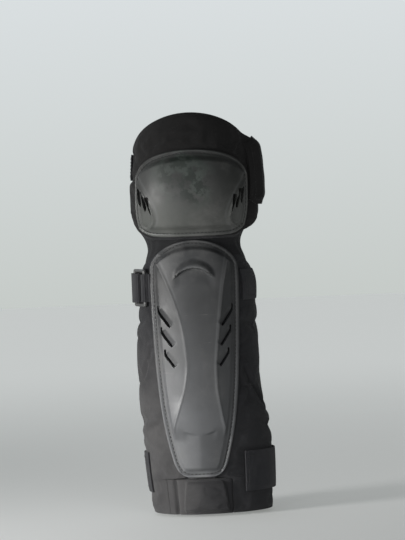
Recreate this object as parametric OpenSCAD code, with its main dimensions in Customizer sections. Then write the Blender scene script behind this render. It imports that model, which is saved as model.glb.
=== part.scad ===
// Knee and shin guard for one leg: a hard knee cup and a hard shin plate, each sewn to a padded
// cloth section. The two sections meet at a stretch neck, and three straps close them round the leg.
// The origin is on the knee's bend line, in the middle of the leg. +Z is up the leg, -Y is the front.

/* [Overall] */
// Height of the shin section, from its hem up to the bend line
shin_h = 352; // [336:2:356]
// Height of the knee section, from the bend line up to the top of the hood
knee_h = 168; // [164:1:172]
// Extra half-width of the whole guard, for a thicker leg
ease = 0; // [-2:0.5:3]

/* [Layers] */
// Thickness of the moulded shells
shell_t = 3; // [2.4:0.2:3.4]
// Thickness of the foam pads
foam_t = 8; // [6:0.5:9]
// Thickness of the cover cloth
cloth_t = 1.2; // [1:0.1:1.4]
// Air left between two layers
gap = 0.4; // [0.35:0.05:0.5]

/* [Shells] */
// How far the knee cup reaches round the knee, each side, in degrees
cup_span = 64; // [60:0.5:65]
// How far the knee cup domes out over its flange
cup_dome = 9; // [6:0.5:11]
// Half-width of the shin plate at its widest
plate_w = 55; // [52:0.5:56]
// How far the shin plate's spine stands out
spine_h = 6; // [4:0.5:7]
// Width of a vent slot
slot_w = 3; // [2.4:0.2:3.4]

/* [Straps] */
// Width of the calf strap
calf_strap_w = 40; // [38:1:42]
// Width of the ankle strap
ankle_strap_w = 53; // [50:1:54]
// Thickness of the elastic straps
strap_t = 2; // [1.6:0.1:2.2]
// Thickness of the hook and loop tapes
tape_t = 1; // [0.8:0.1:1.2]
// Thickness of the strap ring
ring_t = 5; // [4.6:0.1:5.2]

/* [Hidden] */

CLOTH = "#1b1a1a";
PLASTIC = "#4c4d4e";
ELASTIC = "#1d1d21";
LINING = "#26262a";
FOAM = "#3a3a3c";
THREAD = "#8a8a8c";
TAPE = "#101012";

// Leg form of each section: height, left and right half-widths, half-depth, and where its front face is.
SHIN = [
    [-1.05 * shin_h, 60, 88, 54, -20], [-0.97 * shin_h, 62, 88, 54, -22], [-0.87 * shin_h, 66, 88, 56, -26],
    [-0.76 * shin_h, 69, 87, 58, -30], [-0.67 * shin_h, 71, 85, 60, -33],
    [-0.58 * shin_h, 73, 81, 62, -35.5], [-0.39 * shin_h, 73, 78.5, 65, -39],
    [-80, 71, 77.5, 65, -40], [-50, 69, 76, 63, -40],
    [-25, 65, 71, 60, -38.5], [0, 61, 66, 57, -35], [25, 60, 64, 57, -34],
];
KNEE = [
    [-10, 60, 61, 56, -33], [8, 66, 67, 58, -38], [20, 72, 72, 61, -44], [40, 76, 77, 64, -51],
    [70, 76, 79, 66, -56], [100, 74, 78, 66, -55], [130, 72, 75, 64, -49], [150, 70, 73, 63, -43],
    [1.06 * knee_h, 68, 71, 62, -36],
];
// Half-width of the shin plate, and of the spine between its two ridges, at each height.
PLATE = [[-300, 26], [-282, 34], [-228, 45], [-163, 51], [-60, 55], [-30, 54.5], [10, 52]];
SPINE = [
    [-300, 12], [-256, 27], [-242, 33], [-225, 28], [-191, 19], [-172, 17], [-154, 17.5], [-107, 21],
    [-72, 28], [-42, 37], [-17, 46], [10, 50],
];

// Layer offsets from the form, which is the outer face of the cover cloth.
foam_out = -cloth_t - gap;
foam_in = foam_out - foam_t;
lining_out = foam_in - gap;
lining_in = lining_out - cloth_t;
shell_out = gap + shell_t;
strap_out = gap + strap_t;

// Angles from the front of the wings' back edges and of the ankle pad's two sides, and the gap at a seam.
wing_edge = 115;
pad_left = -42;
pad_right = 26;
seam_gap = 0.6;

// Knee cup: heights of its lower rim, its widest point and its top.
cup_low = 9;
cup_wide = 81;
cup_top = 120;
// Shin plate: heights of its tip, of the ends of its top arc, of its top, and of the step across its spine.
plate_low = -0.86 * shin_h;
pad_top = plate_low - 3;
plate_shoulder = -34;
plate_top = 4;
spine_step = -0.7 * shin_h;
flange_w = 6.5;
// A shell's thread seam: how far in from the rim its two sides are, and how far off the shell it lies.
seam_inset = [4.5, 3.6];
seam_off = [0.65, 1.15];

// Calf strap and ring: middle height, and the two bars' angles and distance off the cloth.
calf_z = -56;
ring_a = [-58, -88];
ring_off = [6.2, 7];
ring_h = 49;
bore = ring_t + 0.8;
// Ankle strap: middle height, and the angle where its tab bends away.
ankle_z = -0.847 * shin_h;
tab_a = 106;
// Knee strap: lower and upper height, and the angle where it leaves the flap.
knee_strap_z = [84, 132];
flap_z = [47, 136];
flap_out = 12;
strap_a = 117;

// Which stretch of a station table holds height z, and a smooth curve through the table's column c.
function stretch_of(table, z, i = 0) =
    i >= len(table) - 2 || z < table[i + 1][0] ? i : stretch_of(table, z, i + 1);
function slope(table, i, c) =
    let (lo = max(i - 1, 0), hi = min(i + 1, len(table) - 1))
    (table[hi][c] - table[lo][c]) / (table[hi][0] - table[lo][0]);
function curve(table, z, c) =
    let (
        i = stretch_of(table, z),
        step = table[i + 1][0] - table[i][0],
        t = (z - table[i][0]) / step
    )
    (2 * t * t * t - 3 * t * t + 1) * table[i][c]
        + (3 * t * t - 2 * t * t * t) * table[i + 1][c]
        + (t * t * t - 2 * t * t + t) * step * slope(table, i, c)
        + (t * t * t - t * t) * step * slope(table, i + 1, c);

// The point on a form at an angle from the front, positive to the right, at height z and
// off millimetres out.
function form_point(form, a, z, off) =
    let (
        wide = curve(form, z, sin(a) < 0 ? 1 : 2) + ease + off,
        deep = curve(form, z, 3) + ease,
        middle = curve(form, z, 4) + deep
    )
    [wide * sin(a), middle - (deep + off) * cos(a), z];
// The angle at which a form is x from the middle plane.
function form_angle(form, x, z) = asin(x / (curve(form, z, x < 0 ? 1 : 2) + ease));

function mix(a, b, t) = a + (b - a) * t;
function steps(n) = [for (i = [0:n]) i / n];
function ramp(lo, hi, x) = let (t = min(1, max(0, (x - lo) / (hi - lo)))) t * t * (3 - 2 * t);

// Edges of the two sections, as heights at an angle round the leg.
function knee_top_at(a) = knee_h - 43 + 43 * cos(a);
function knee_low_at(a) = 8 + 30 * ramp(50, wing_edge, abs(a));
function shin_top_at(a) = -17 - 26 * ramp(50, wing_edge, abs(a));
function shin_hem_at(a) = -shin_h;

// Knee cup surface: s runs across from -1 to 1, v up from 0 to 1, inset millimetres in from the rim.
function cup_low_at(s) = cup_low + 12 * pow(abs(s), 6);
function cup_top_at(s) = cup_wide + (cup_top - cup_wide) * sqrt(max(0, 1 - s * s));
function cup_rise(s, z) =
    let (
        rim = min((1 - abs(s)) * 86, z - cup_low_at(s), cup_top_at(s) - z),
        x = abs(s) * 71,
        hollow = ramp(0, 6, x - 40 - 28 * pow((z - 47) / 42, 2)) * ramp(flange_w, flange_w + 5, rim)
    )
    ramp(flange_w, flange_w + 8, rim) * (2.5 + (cup_dome - 2.5) * (1 - s * s) * sin(180 * (z - 2) / 124))
        - 1.8 * hollow;
function cup_point(s, v, off, inset = 0) =
    let (z = mix(cup_low_at(s) + inset, cup_top_at(s) - inset, v))
    form_point(KNEE, s * (cup_span - inset * 0.75), z, off + cup_rise(s * (1 - inset / 86), z));

// Shin plate surface, with the same two directions.
function plate_half(z) = curve(PLATE, z, 1) * plate_w / 55;
function plate_low_at(s) = plate_low + 9 * pow(abs(s), 8);
function plate_top_at(s) = plate_shoulder + (plate_top - plate_shoulder) * sqrt(max(0, 1 - s * s));
function plate_rise(x, z, rim) =
    let (
        ridge = curve(SPINE, z, 1),
        side = max(0, 1 - (abs(x) - ridge) / max(6, plate_half(z) - flange_w - ridge)),
        brow = ramp(-6, 3, z + 24 + 0.024 * x * x),
        above = abs(x) < ridge ? 1 : side,
        below = max(0, 1 - abs(x) / 26)
    )
    ramp(flange_w, flange_w + 6, rim)
        * (2 + (spine_h - 2) * mix(0.75 * below, above, ramp(-3, 1, z - spine_step)) + 1.6 * brow);
// The direction out of the top arc, across and up.
function plate_cap(s) =
    let (
        out = [s / plate_w, sqrt(max(0, 1 - s * s)) / (plate_top - plate_shoulder)]
    )
    out / norm(out);
function plate_rim(x, z) =
    let (across = max(-1, min(1, x / plate_half(z))))
    min(plate_half(z) - abs(x), z - plate_low_at(across), (plate_top_at(across) - z) * plate_cap(across)[1]);
function plate_point(s, v, off, inset = 0) =
    let (
        cap = plate_cap(s),
        z = mix(plate_low_at(s) + inset, plate_top_at(s) - inset * cap[1], v),
        x = s * plate_half(z) - inset * mix(s, cap[0], v)
    )
    form_point(SHIN, form_angle(SHIN, x, z), z, off + plate_rise(x, z, plate_rim(x, z)));

// Steps across and up a shell, closer together towards its rim.
function shell_across() = [for (t = [-90:7.5:90]) sin(t)];
function shell_up(n) = [for (w = steps(n)) (1 - cos(180 * w)) / 2];

// The angle where the front panel meets a wing, a little way in under the plate's rim.
function seam_at(side, z) = form_angle(SHIN, side * (plate_half(z) - 6), z);

// Once round a rim, from the middle of its lower edge back to it, as pairs of s and v.
function once_round(n) = concat(
    [for (t = [-1, each [-7.5:-7.5:-82.5]]) [sin(t), 0]],
    [for (i = [0:n - 1]) [-1, shell_up(n)[i]]],
    [for (s = shell_across()) [s, 1]],
    [for (i = [n - 1:-1:0]) [1, shell_up(n)[i]]],
    [for (t = [each [82.5:-7.5:7.5], 1]) [sin(t), 0]]
);

// A closed slab between two grids of points of the same size. Rows run up, columns run left to right.
module slab(outer, inner) {
    cols = len(outer[0]);
    n = len(outer) * cols;
    top = len(outer) - 1;
    right = cols - 1;
    at = function(r, c) r * cols + c;
    faces = concat(
        [for (r = [0:top - 1], c = [0:right - 1]) each [
            [at(r, c), at(r + 1, c), at(r + 1, c + 1)], [at(r, c), at(r + 1, c + 1), at(r, c + 1)],
            [n + at(r, c), n + at(r + 1, c + 1), n + at(r + 1, c)],
            [n + at(r, c), n + at(r, c + 1), n + at(r + 1, c + 1)],
        ]],
        [for (c = [0:right - 1]) each [
            [at(0, c), at(0, c + 1), n + at(0, c + 1)], [at(0, c), n + at(0, c + 1), n + at(0, c)],
            [at(top, c + 1), at(top, c), n + at(top, c)],
            [at(top, c + 1), n + at(top, c), n + at(top, c + 1)],
        ]],
        [for (r = [0:top - 1]) each [
            [at(r + 1, 0), at(r, 0), n + at(r, 0)], [at(r + 1, 0), n + at(r, 0), n + at(r + 1, 0)],
            [at(r, right), at(r + 1, right), n + at(r + 1, right)],
            [at(r, right), n + at(r + 1, right), n + at(r, right)],
        ]]
    );
    points = [for (grid = [outer, inner]) for (row = grid) each row];
    polyhedron(points = points, faces = faces);
}

// A sheet of cloth, foam or webbing lying on a form, from angle a0 to a1 and between two edge curves.
module wrap(form, a0, a1, low, high, inner, outer, across = 20, up = 10) {
    grid = function(off) [for (v = steps(up)) [for (u = steps(across))
        let (a = mix(a0, a1, u)) form_point(form, a, mix(low(a), high(a), v), off)
    ]];
    slab(grid(outer), grid(inner));
}

// A strap or tape of level width on a form.
module band(form, a0, a1, z0, z1, inner, outer, across = 16) {
    wrap(form, a0, a1, function(a) z0, function(a) z1, inner, outer, across, 4);
}

// A thread seam lying just outside a shell, in from its rim.
module rim_seam(path, point) {
    line = function(off) [for (inset = seam_inset) [for (p = path) point(p[0], p[1], off, inset)]];
    slab(line(shell_out + seam_off[1]), line(shell_out + seam_off[0]));
}

// A vent slot's cutter, standing out from a form at an angle and leaning by tilt.
module slot_cutter(form, a, z, long, tilt) {
    p = form_point(form, a, z, 0);
    translate(p)
        rotate([90, 0, a])
        rotate([0, 0, tilt])
        translate([0, 0, -4])
        linear_extrude(26) {
            square([slot_w, long - slot_w], center = true);
            for (end = [-1, 1]) translate([0, end * (long - slot_w) / 2]) circle(d = slot_w, $fn = 24);
        }
}

module knee_shell() {
    color(PLASTIC) difference() {
        slab(
            [for (v = shell_up(18)) [for (s = shell_across()) cup_point(s, v, shell_out)]],
            [for (v = shell_up(18)) [for (s = shell_across()) cup_point(s, v, gap)]]
        );
        for (side = [-1, 1]) {
            slot_cutter(KNEE, side * 55, 58, 18, side * -14);
            slot_cutter(KNEE, side * 47.5, 54, 20, side * -16);
            slot_cutter(KNEE, side * 39.5, 48, 15, side * -20);
        }
    }
}

module knee_shell_seam() {
    color(THREAD) rim_seam(once_round(18), function(s, v, off, inset) cup_point(s, v, off, inset));
}

module knee_cover() {
    color(CLOTH) wrap(KNEE, -wing_edge, wing_edge, function(a) knee_low_at(a), function(a) knee_top_at(a),
        -cloth_t, 0, 30, 12);
}

module knee_foam() {
    color(FOAM) wrap(KNEE, -wing_edge + 2, wing_edge - 2, function(a) knee_low_at(a) + 1,
        function(a) 0.72 * knee_top_at(a) - 1, foam_in, foam_out, 24, 8);
}

module hood_pad() {
    color(FOAM) wrap(KNEE, -wing_edge + 2, wing_edge - 2, function(a) 0.72 * knee_top_at(a) + 1,
        function(a) knee_top_at(a) - 2, foam_in, foam_out, 24, 6);
}

module knee_lining() {
    color(LINING) wrap(KNEE, -wing_edge, wing_edge, function(a) knee_low_at(a), function(a) knee_top_at(a),
        lining_in, lining_out, 30, 10);
}

module knee_binding() {
    color(CLOTH) wrap(KNEE, -wing_edge, wing_edge, function(a) knee_low_at(a) - 2.8,
        function(a) knee_low_at(a) - 0.4, lining_in, 0.2, 30, 1);
}

module knee_loop_patch() {
    color(TAPE) band(KNEE, -112, -84, knee_strap_z[0] - 2, knee_strap_z[1] - 16, gap, gap + tape_t, 6);
}

module knee_strap_flap() {
    color(ELASTIC) wrap(KNEE, 66, 113, function(a) flap_z[0] + 30 * ramp(80, 113, a),
        function(a) flap_z[1] - 8 * ramp(80, 66, a) - 4 * ramp(80, 113, a), gap, flap_out, 12, 5);
}

module knee_strap() {
    color(ELASTIC) band(KNEE, strap_a, 276, knee_strap_z[0], knee_strap_z[1] - 14, 3.4, 3.4 + strap_t, 28);
}

module knee_strap_hook() {
    color(TAPE) band(KNEE, 250, 275, knee_strap_z[0] + 2, knee_strap_z[1] - 16, 3.1 - tape_t, 3.1, 6);
}

module neck_panel() {
    color(CLOTH) wrap(SHIN, -58, 58, function(a) -15.5, function(a) 3, -3, -1, 18, 3);
}

module shin_shell() {
    color(PLASTIC) difference() {
        slab(
            [for (v = shell_up(40)) [for (s = shell_across()) plate_point(s, v, shell_out)]],
            [for (v = shell_up(40)) [for (s = shell_across()) plate_point(s, v, gap)]]
        );
        for (side = [-1, 1]) {
            slot_cutter(SHIN, side * 31.5, -95, 27, side * -34);
            slot_cutter(SHIN, side * 30, -121, 25, side * -34);
            slot_cutter(SHIN, side * 27, -148, 21, side * -34);
        }
    }
}

module shin_shell_seam() {
    color(THREAD) rim_seam(once_round(40), function(s, v, off, inset) plate_point(s, v, off, inset));
}

// The front of the shin section, from seam to seam and from the ankle pad up to the neck.
module front_panel(inner, outer, across, up) {
    levels = [for (v = steps(up)) mix(pad_top, shin_top_at(0), v)];
    grid = function(off) [for (z = levels) [for (u = steps(across))
        form_point(SHIN, mix(seam_at(-1, z) + seam_gap, seam_at(1, z) - seam_gap, u), z, off)
    ]];
    slab(grid(outer), grid(inner));
}

module shin_panel() {
    color(CLOTH) front_panel(-cloth_t, 0, 14, 16);
}

module shin_foam() {
    color(FOAM) front_panel(foam_in, foam_out, 14, 14);
}

module shin_lining() {
    color(LINING) wrap(SHIN, -wing_edge, wing_edge, function(a) shin_hem_at(a) + 1,
        function(a) shin_top_at(a) - 1, lining_in, lining_out, 26, 14);
}

module ankle_pad() {
    color(CLOTH) wrap(SHIN, pad_left, pad_right, function(a) shin_hem_at(a), function(a) pad_top - seam_gap,
        foam_in, 0.8, 12, 5);
}

module shin_wing(side) {
    toe = side < 0 ? pad_left - seam_gap : pad_right + seam_gap;
    back = side * wing_edge;
    upper = function(off) [for (v = steps(14)) [for (u = steps(12))
        let (
            t = side < 0 ? 1 - u : u,
            z = mix(pad_top, shin_top_at(mix(48, wing_edge, t)), v)
        )
        form_point(SHIN, mix(seam_at(side, z), back, t), z, off)
    ]];
    color(CLOTH) union() {
        slab(upper(0), upper(foam_in));
        wrap(SHIN, min(toe, back), max(toe, back), function(a) shin_hem_at(a), function(a) pad_top + 1,
            foam_in, 0, 14, 4);
    }
}

module shin_wing_left() {
    shin_wing(-1);
}

module shin_wing_right() {
    shin_wing(1);
}

module wing_binding(side) {
    a0 = wing_edge + 0.4;
    color(CLOTH) wrap(SHIN, side < 0 ? -a0 - 3 : a0, side < 0 ? -a0 : a0 + 3,
        function(a) shin_hem_at(a) + 2, function(a) shin_top_at(a) - 2, lining_in, 0, 1, 16);
}

module wing_binding_left() {
    wing_binding(-1);
}

module wing_binding_right() {
    wing_binding(1);
}

// The ring's plane: its front bar at the origin, its rear bar along +X.
ring_front = form_point(SHIN, ring_a[0], calf_z, ring_off[0]);
ring_rear = form_point(SHIN, ring_a[1], calf_z, ring_off[1]);
ring_long = norm(ring_rear - ring_front);
ring_turn = atan2(ring_rear[1] - ring_front[1], ring_rear[0] - ring_front[0]);

module on_ring() {
    translate(ring_front) rotate([0, 0, ring_turn]) children();
}

module calf_ring() {
    bar = ring_h - ring_t;
    color(PLASTIC) on_ring() {
        for (x = [0, ring_long])
            translate([x, 0, 0]) cylinder(h = bar, d = ring_t, center = true, $fn = 48);
        for (end = [-1, 1]) translate([0, 0, end * bar / 2]) {
            rotate([0, 90, 0]) cylinder(h = ring_long, d = ring_t, $fn = 48);
            for (x = [0, ring_long]) translate([x, 0, 0]) sphere(d = ring_t, $fn = 48);
        }
    }
}

module calf_keeper() {
    tall = ring_h - 2 * ring_t - 4;
    color(ELASTIC) difference() {
        union() {
            translate(ring_front) cylinder(h = tall, d = bore + 3, center = true, $fn = 48);
            band(SHIN, ring_a[0] - 3.5, ring_a[0] + 3.5, calf_z - tall / 2, calf_z + tall / 2,
                gap, gap + 2.2, 4);
        }
        translate(ring_front) cylinder(h = tall + 2, d = bore, center = true, $fn = 48);
    }
}

module calf_tab() {
    tall = ring_h - 2 * ring_t - 2;
    color(ELASTIC) difference() {
        union() {
            translate(ring_rear) cylinder(h = tall, d = bore + 2 * strap_t, center = true, $fn = 48);
            band(SHIN, -136, -91.5, calf_z - tall / 2, calf_z + tall / 2, 5.4, 5.4 + strap_t, 10);
        }
        translate(ring_rear) cylinder(h = tall + 2, d = bore, center = true, $fn = 48);
    }
}

module calf_tab_hook() {
    tall = ring_h - 2 * ring_t - 6;
    color(TAPE) band(SHIN, -134, -106, calf_z - tall / 2, calf_z + tall / 2, 5.1 - tape_t, 5.1, 7);
}

module calf_strap_base() {
    color(ELASTIC) band(SHIN, 53, 76, calf_z - calf_strap_w / 2, calf_z + calf_strap_w / 2, gap, 3.4, 6);
}

module calf_strap() {
    color(ELASTIC) band(SHIN, 76.6, 256, calf_z - calf_strap_w / 2, calf_z + calf_strap_w / 2,
        gap, strap_out, 30);
}

module calf_loop_patch() {
    tall = calf_strap_w - 6;
    color(TAPE) band(SHIN, 222, 255, calf_z - tall / 2, calf_z + tall / 2, strap_out + 0.3,
        strap_out + 0.3 + tape_t, 7);
}

module ankle_strap_base() {
    color(ELASTIC) band(SHIN, -98, -70, ankle_z - ankle_strap_w / 2, ankle_z + ankle_strap_w / 2,
        gap, 3.4, 6);
}

module ankle_strap() {
    color(ELASTIC) band(SHIN, tab_a - 4, 261.4, ankle_z - ankle_strap_w / 2, ankle_z + ankle_strap_w / 2,
        gap, strap_out, 26);
}

module ankle_tab() {
    color(ELASTIC) band(SHIN, 36, tab_a, ankle_z - ankle_strap_w / 2, ankle_z + ankle_strap_w / 2,
        3.4, 3.4 + strap_t, 14);
}

module ankle_tab_hook() {
    tall = ankle_strap_w - 6;
    color(TAPE) band(SHIN, 38, 70, ankle_z - tall / 2, ankle_z + tall / 2, 3.1 - tape_t, 3.1, 7);
}

module ankle_loop_patch() {
    tall = ankle_strap_w - 4;
    color(TAPE) band(SHIN, 57, 100, ankle_z - tall / 2, ankle_z + tall / 2, 0.4, 0.4 + tape_t, 8);
}

knee_shell();
knee_shell_seam();
knee_cover();
knee_foam();
hood_pad();
knee_lining();
knee_binding();
knee_loop_patch();
knee_strap_flap();
knee_strap();
knee_strap_hook();
neck_panel();
shin_shell();
shin_shell_seam();
shin_panel();
shin_foam();
shin_lining();
ankle_pad();
shin_wing_left();
shin_wing_right();
wing_binding_left();
wing_binding_right();
calf_keeper();
calf_ring();
calf_tab();
calf_tab_hook();
calf_strap_base();
calf_strap();
calf_loop_patch();
ankle_strap_base();
ankle_strap();
ankle_tab();
ankle_tab_hook();
ankle_loop_patch();
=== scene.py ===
"""Looks of a wrap-round knee and shin guard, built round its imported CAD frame.

Lengths inside the shape classes are millimetres in the frame's own axes: +Z up the leg, -Y out of
the front, +X to the right as seen from the front. Meshes are made in metres.
"""

import logging
import math
from dataclasses import dataclass, field
from enum import Enum
from typing import Callable, Iterable, Sequence

import bpy
import numpy as np
from mathutils import Matrix, Vector


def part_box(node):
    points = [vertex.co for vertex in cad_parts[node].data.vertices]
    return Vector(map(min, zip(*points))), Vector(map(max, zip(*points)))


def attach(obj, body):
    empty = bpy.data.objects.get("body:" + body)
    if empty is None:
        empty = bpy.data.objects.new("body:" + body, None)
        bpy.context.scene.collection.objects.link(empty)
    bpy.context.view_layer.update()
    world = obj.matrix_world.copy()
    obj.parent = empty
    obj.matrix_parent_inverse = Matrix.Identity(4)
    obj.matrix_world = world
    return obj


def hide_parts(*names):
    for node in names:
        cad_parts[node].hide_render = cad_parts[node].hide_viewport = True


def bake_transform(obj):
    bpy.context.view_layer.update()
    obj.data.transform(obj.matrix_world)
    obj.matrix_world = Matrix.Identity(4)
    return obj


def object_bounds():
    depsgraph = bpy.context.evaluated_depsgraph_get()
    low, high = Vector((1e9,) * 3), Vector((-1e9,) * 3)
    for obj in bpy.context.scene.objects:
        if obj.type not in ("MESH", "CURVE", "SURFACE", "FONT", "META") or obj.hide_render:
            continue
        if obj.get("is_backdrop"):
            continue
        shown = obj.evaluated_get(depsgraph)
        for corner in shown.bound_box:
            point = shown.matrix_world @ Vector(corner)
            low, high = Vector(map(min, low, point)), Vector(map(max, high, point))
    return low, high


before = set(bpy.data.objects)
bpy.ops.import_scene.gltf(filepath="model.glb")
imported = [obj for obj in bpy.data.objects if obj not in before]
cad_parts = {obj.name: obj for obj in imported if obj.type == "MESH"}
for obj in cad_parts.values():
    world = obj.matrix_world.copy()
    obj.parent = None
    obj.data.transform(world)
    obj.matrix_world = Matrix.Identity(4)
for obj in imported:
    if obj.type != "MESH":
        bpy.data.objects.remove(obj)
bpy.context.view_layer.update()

MM = 0.001
PAD_PRESSURE = 3.0  # the cloth simulation's, inside a pad
PAD_EASE = 1.5  # how far a pad's back follows its front outwards
LOG = logging.getLogger("guard")
Array = np.ndarray
Shape = Callable[[Array, Array], Array]
Place = Callable[[Array, Array], tuple[Array, Array]]


class Body(str, Enum):
    """The CAD bodies that pieces ride on."""

    SHIN = "shin"
    KNEE = "knee"
    KNEE_STRAP = "knee_strap"
    CALF_RING = "calf_ring"
    CALF_TAB = "calf_tab"
    ANKLE_TAB = "ankle_tab"


class Side(Enum):
    """A side of the guard as seen from the front."""

    LEFT = -1
    RIGHT = 1


# ---------------------------------------------------------------- curves and forms


def ramp(low: float, high: float, x: Array) -> Array:
    """Smooth step from 0 at low to 1 at high."""
    t = np.clip((x - low) / (high - low), 0.0, 1.0)
    return t * t * (3 - 2 * t)


def bump(x: Array, width: float) -> Array:
    """Bell curve of height 1 at x = 0, falling off over width."""
    return np.exp(-((x / width) ** 2))


def curve(rows: Array, z: Array, column: int) -> Array:
    """Smooth curve through one column of a station table.

    Args:
        rows: Stations, one a row, with the height in column 0.
        z: Heights to read the curve at.
        column: The column that holds the values.

    Returns:
        The curve's values at the heights.
    """
    heights, values = rows[:, 0], rows[:, column]
    count = len(heights)
    slopes = np.array([
        (values[min(i + 1, count - 1)] - values[max(i - 1, 0)])
        / (heights[min(i + 1, count - 1)] - heights[max(i - 1, 0)])
        for i in range(count)
    ])
    z = np.asarray(z, float)
    i = np.clip(np.searchsorted(heights, z, side="right") - 1, 0, count - 2)
    step = heights[i + 1] - heights[i]
    t = (z - heights[i]) / step
    return (
        (2 * t**3 - 3 * t**2 + 1) * values[i]
        + (t**3 - 2 * t**2 + t) * step * slopes[i]
        + (3 * t**2 - 2 * t**3) * values[i + 1]
        + (t**3 - t**2) * step * slopes[i + 1]
    )


@dataclass(frozen=True)
class LegForm:
    """The outer face of a section's cover cloth, as ellipses up the leg.

    Each row is height, left and right half-widths, half-depth, and where the front face is.
    """

    rows: tuple[tuple[float, ...], ...]

    def point(self, angle: Array, z: Array, off: Array | float = 0.0) -> Array:
        """Points at angles from the front, positive to the right, standing off the form.

        Args:
            angle: Angles, in degrees.
            z: Heights.
            off: How far outside the form the points lie.

        Returns:
            Points as an array whose last axis is x, y, z.
        """
        table = np.array(self.rows, float)
        turn = np.radians(angle)
        wide = np.where(np.sin(turn) < 0, curve(table, z, 1), curve(table, z, 2)) + off
        deep = curve(table, z, 3)
        middle = curve(table, z, 4) + deep
        flat = np.broadcast_arrays(wide * np.sin(turn), middle - (deep + off) * np.cos(turn), z)
        return np.stack(flat, axis=-1)

    def angle(self, x: Array, z: Array) -> Array:
        """Angles, in degrees, at which the form is x from the middle plane."""
        table = np.array(self.rows, float)
        wide = np.where(np.asarray(x) < 0, curve(table, z, 1), curve(table, z, 2))
        return np.degrees(np.arcsin(np.clip(x / wide, -0.999, 0.999)))

    def normal(self, angle: float, z: float) -> Vector:
        """Outward direction of the form at one place."""
        a, b = self.point(np.array([angle, angle]), np.array([z, z]), np.array([0.0, 1.0]))
        return Vector(b - a).normalized()


@dataclass(frozen=True)
class Pattern:
    """The driving sizes, which the CAD model and these pieces share."""

    shin_h: float = -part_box("ankle_pad")[0].z / MM
    knee_h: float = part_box("knee_cover")[1].z / MM
    cloth: float = 1.2
    gap: float = 0.4
    foam: float = 8.0
    shell: float = 3.0
    strap: float = 2.0
    tape: float = 1.0
    wing_edge: float = 115.0
    pad_left: float = -42.0
    pad_right: float = 26.0
    pad: float = 9.9
    binding: float = 11.6

    @property
    def inside(self) -> float:
        """Offset of the lining's outer face from the form."""
        return -self.cloth - 2 * self.gap - self.foam

    @property
    def pad_top(self) -> float:
        """Height of the seam between the ankle pad and what is above it."""
        return -0.86 * self.shin_h - 3

    def knee_top(self, angle: Array) -> Array:
        """Height of the hood's edge."""
        return self.knee_h - 43 + 43 * np.cos(np.radians(angle))

    def knee_low(self, angle: Array) -> Array:
        """Height of the knee section's lower edge."""
        return 8 + 30 * ramp(50, self.wing_edge, np.abs(angle))

    def shin_top(self, angle: Array) -> Array:
        """Height of the shin section's upper edge."""
        return -17 - 26 * ramp(50, self.wing_edge, np.abs(angle))


P = Pattern()

SHIN = LegForm((
    (-1.05 * P.shin_h, 62, 90, 54, -20), (-0.97 * P.shin_h, 65, 91, 54, -22),
    (-0.87 * P.shin_h, 69, 92, 56, -26), (-0.76 * P.shin_h, 72, 92, 58, -30),
    (-0.67 * P.shin_h, 74, 91, 60, -33), (-0.58 * P.shin_h, 76, 84, 62, -35.5),
    (-0.39 * P.shin_h, 75.5, 78, 65, -39), (-80, 72.5, 78.5, 65, -40), (-50, 69, 78.5, 63, -40),
    (-25, 65, 71, 60, -38.5), (0, 61, 66, 57, -35), (25, 60, 64, 57, -34),
))
KNEE = LegForm((
    (-10, 60, 61, 56, -33), (8, 66, 67, 58, -38), (20, 72, 72, 61, -44), (40, 76, 77, 64, -51),
    (70, 76, 79, 66, -56), (100, 74, 78, 66, -55), (130, 72, 75, 64, -49),
    (150, 70, 73, 63, -43), (1.06 * P.knee_h, 68, 71, 62, -36),
))


@dataclass(frozen=True)
class Vent:
    """A slanted vent slot: its outer upper corner and inner lower end, as |x| and z, and its hook."""

    corner: tuple[float, float]
    end: tuple[float, float]
    hook: float

    def local(self, x: Array, z: Array) -> tuple[Array, Array]:
        """Distances along the slot from its corner, and across it towards the spine."""
        run = np.array(self.end) - np.array(self.corner)
        run = run / np.linalg.norm(run)
        dx, dz = np.abs(x) - self.corner[0], z - self.corner[1]
        return dx * run[0] + dz * run[1], dx * run[1] - dz * run[0]

    @property
    def length(self) -> float:
        """Length of the slot's slanted run."""
        return math.dist(self.corner, self.end)


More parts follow.
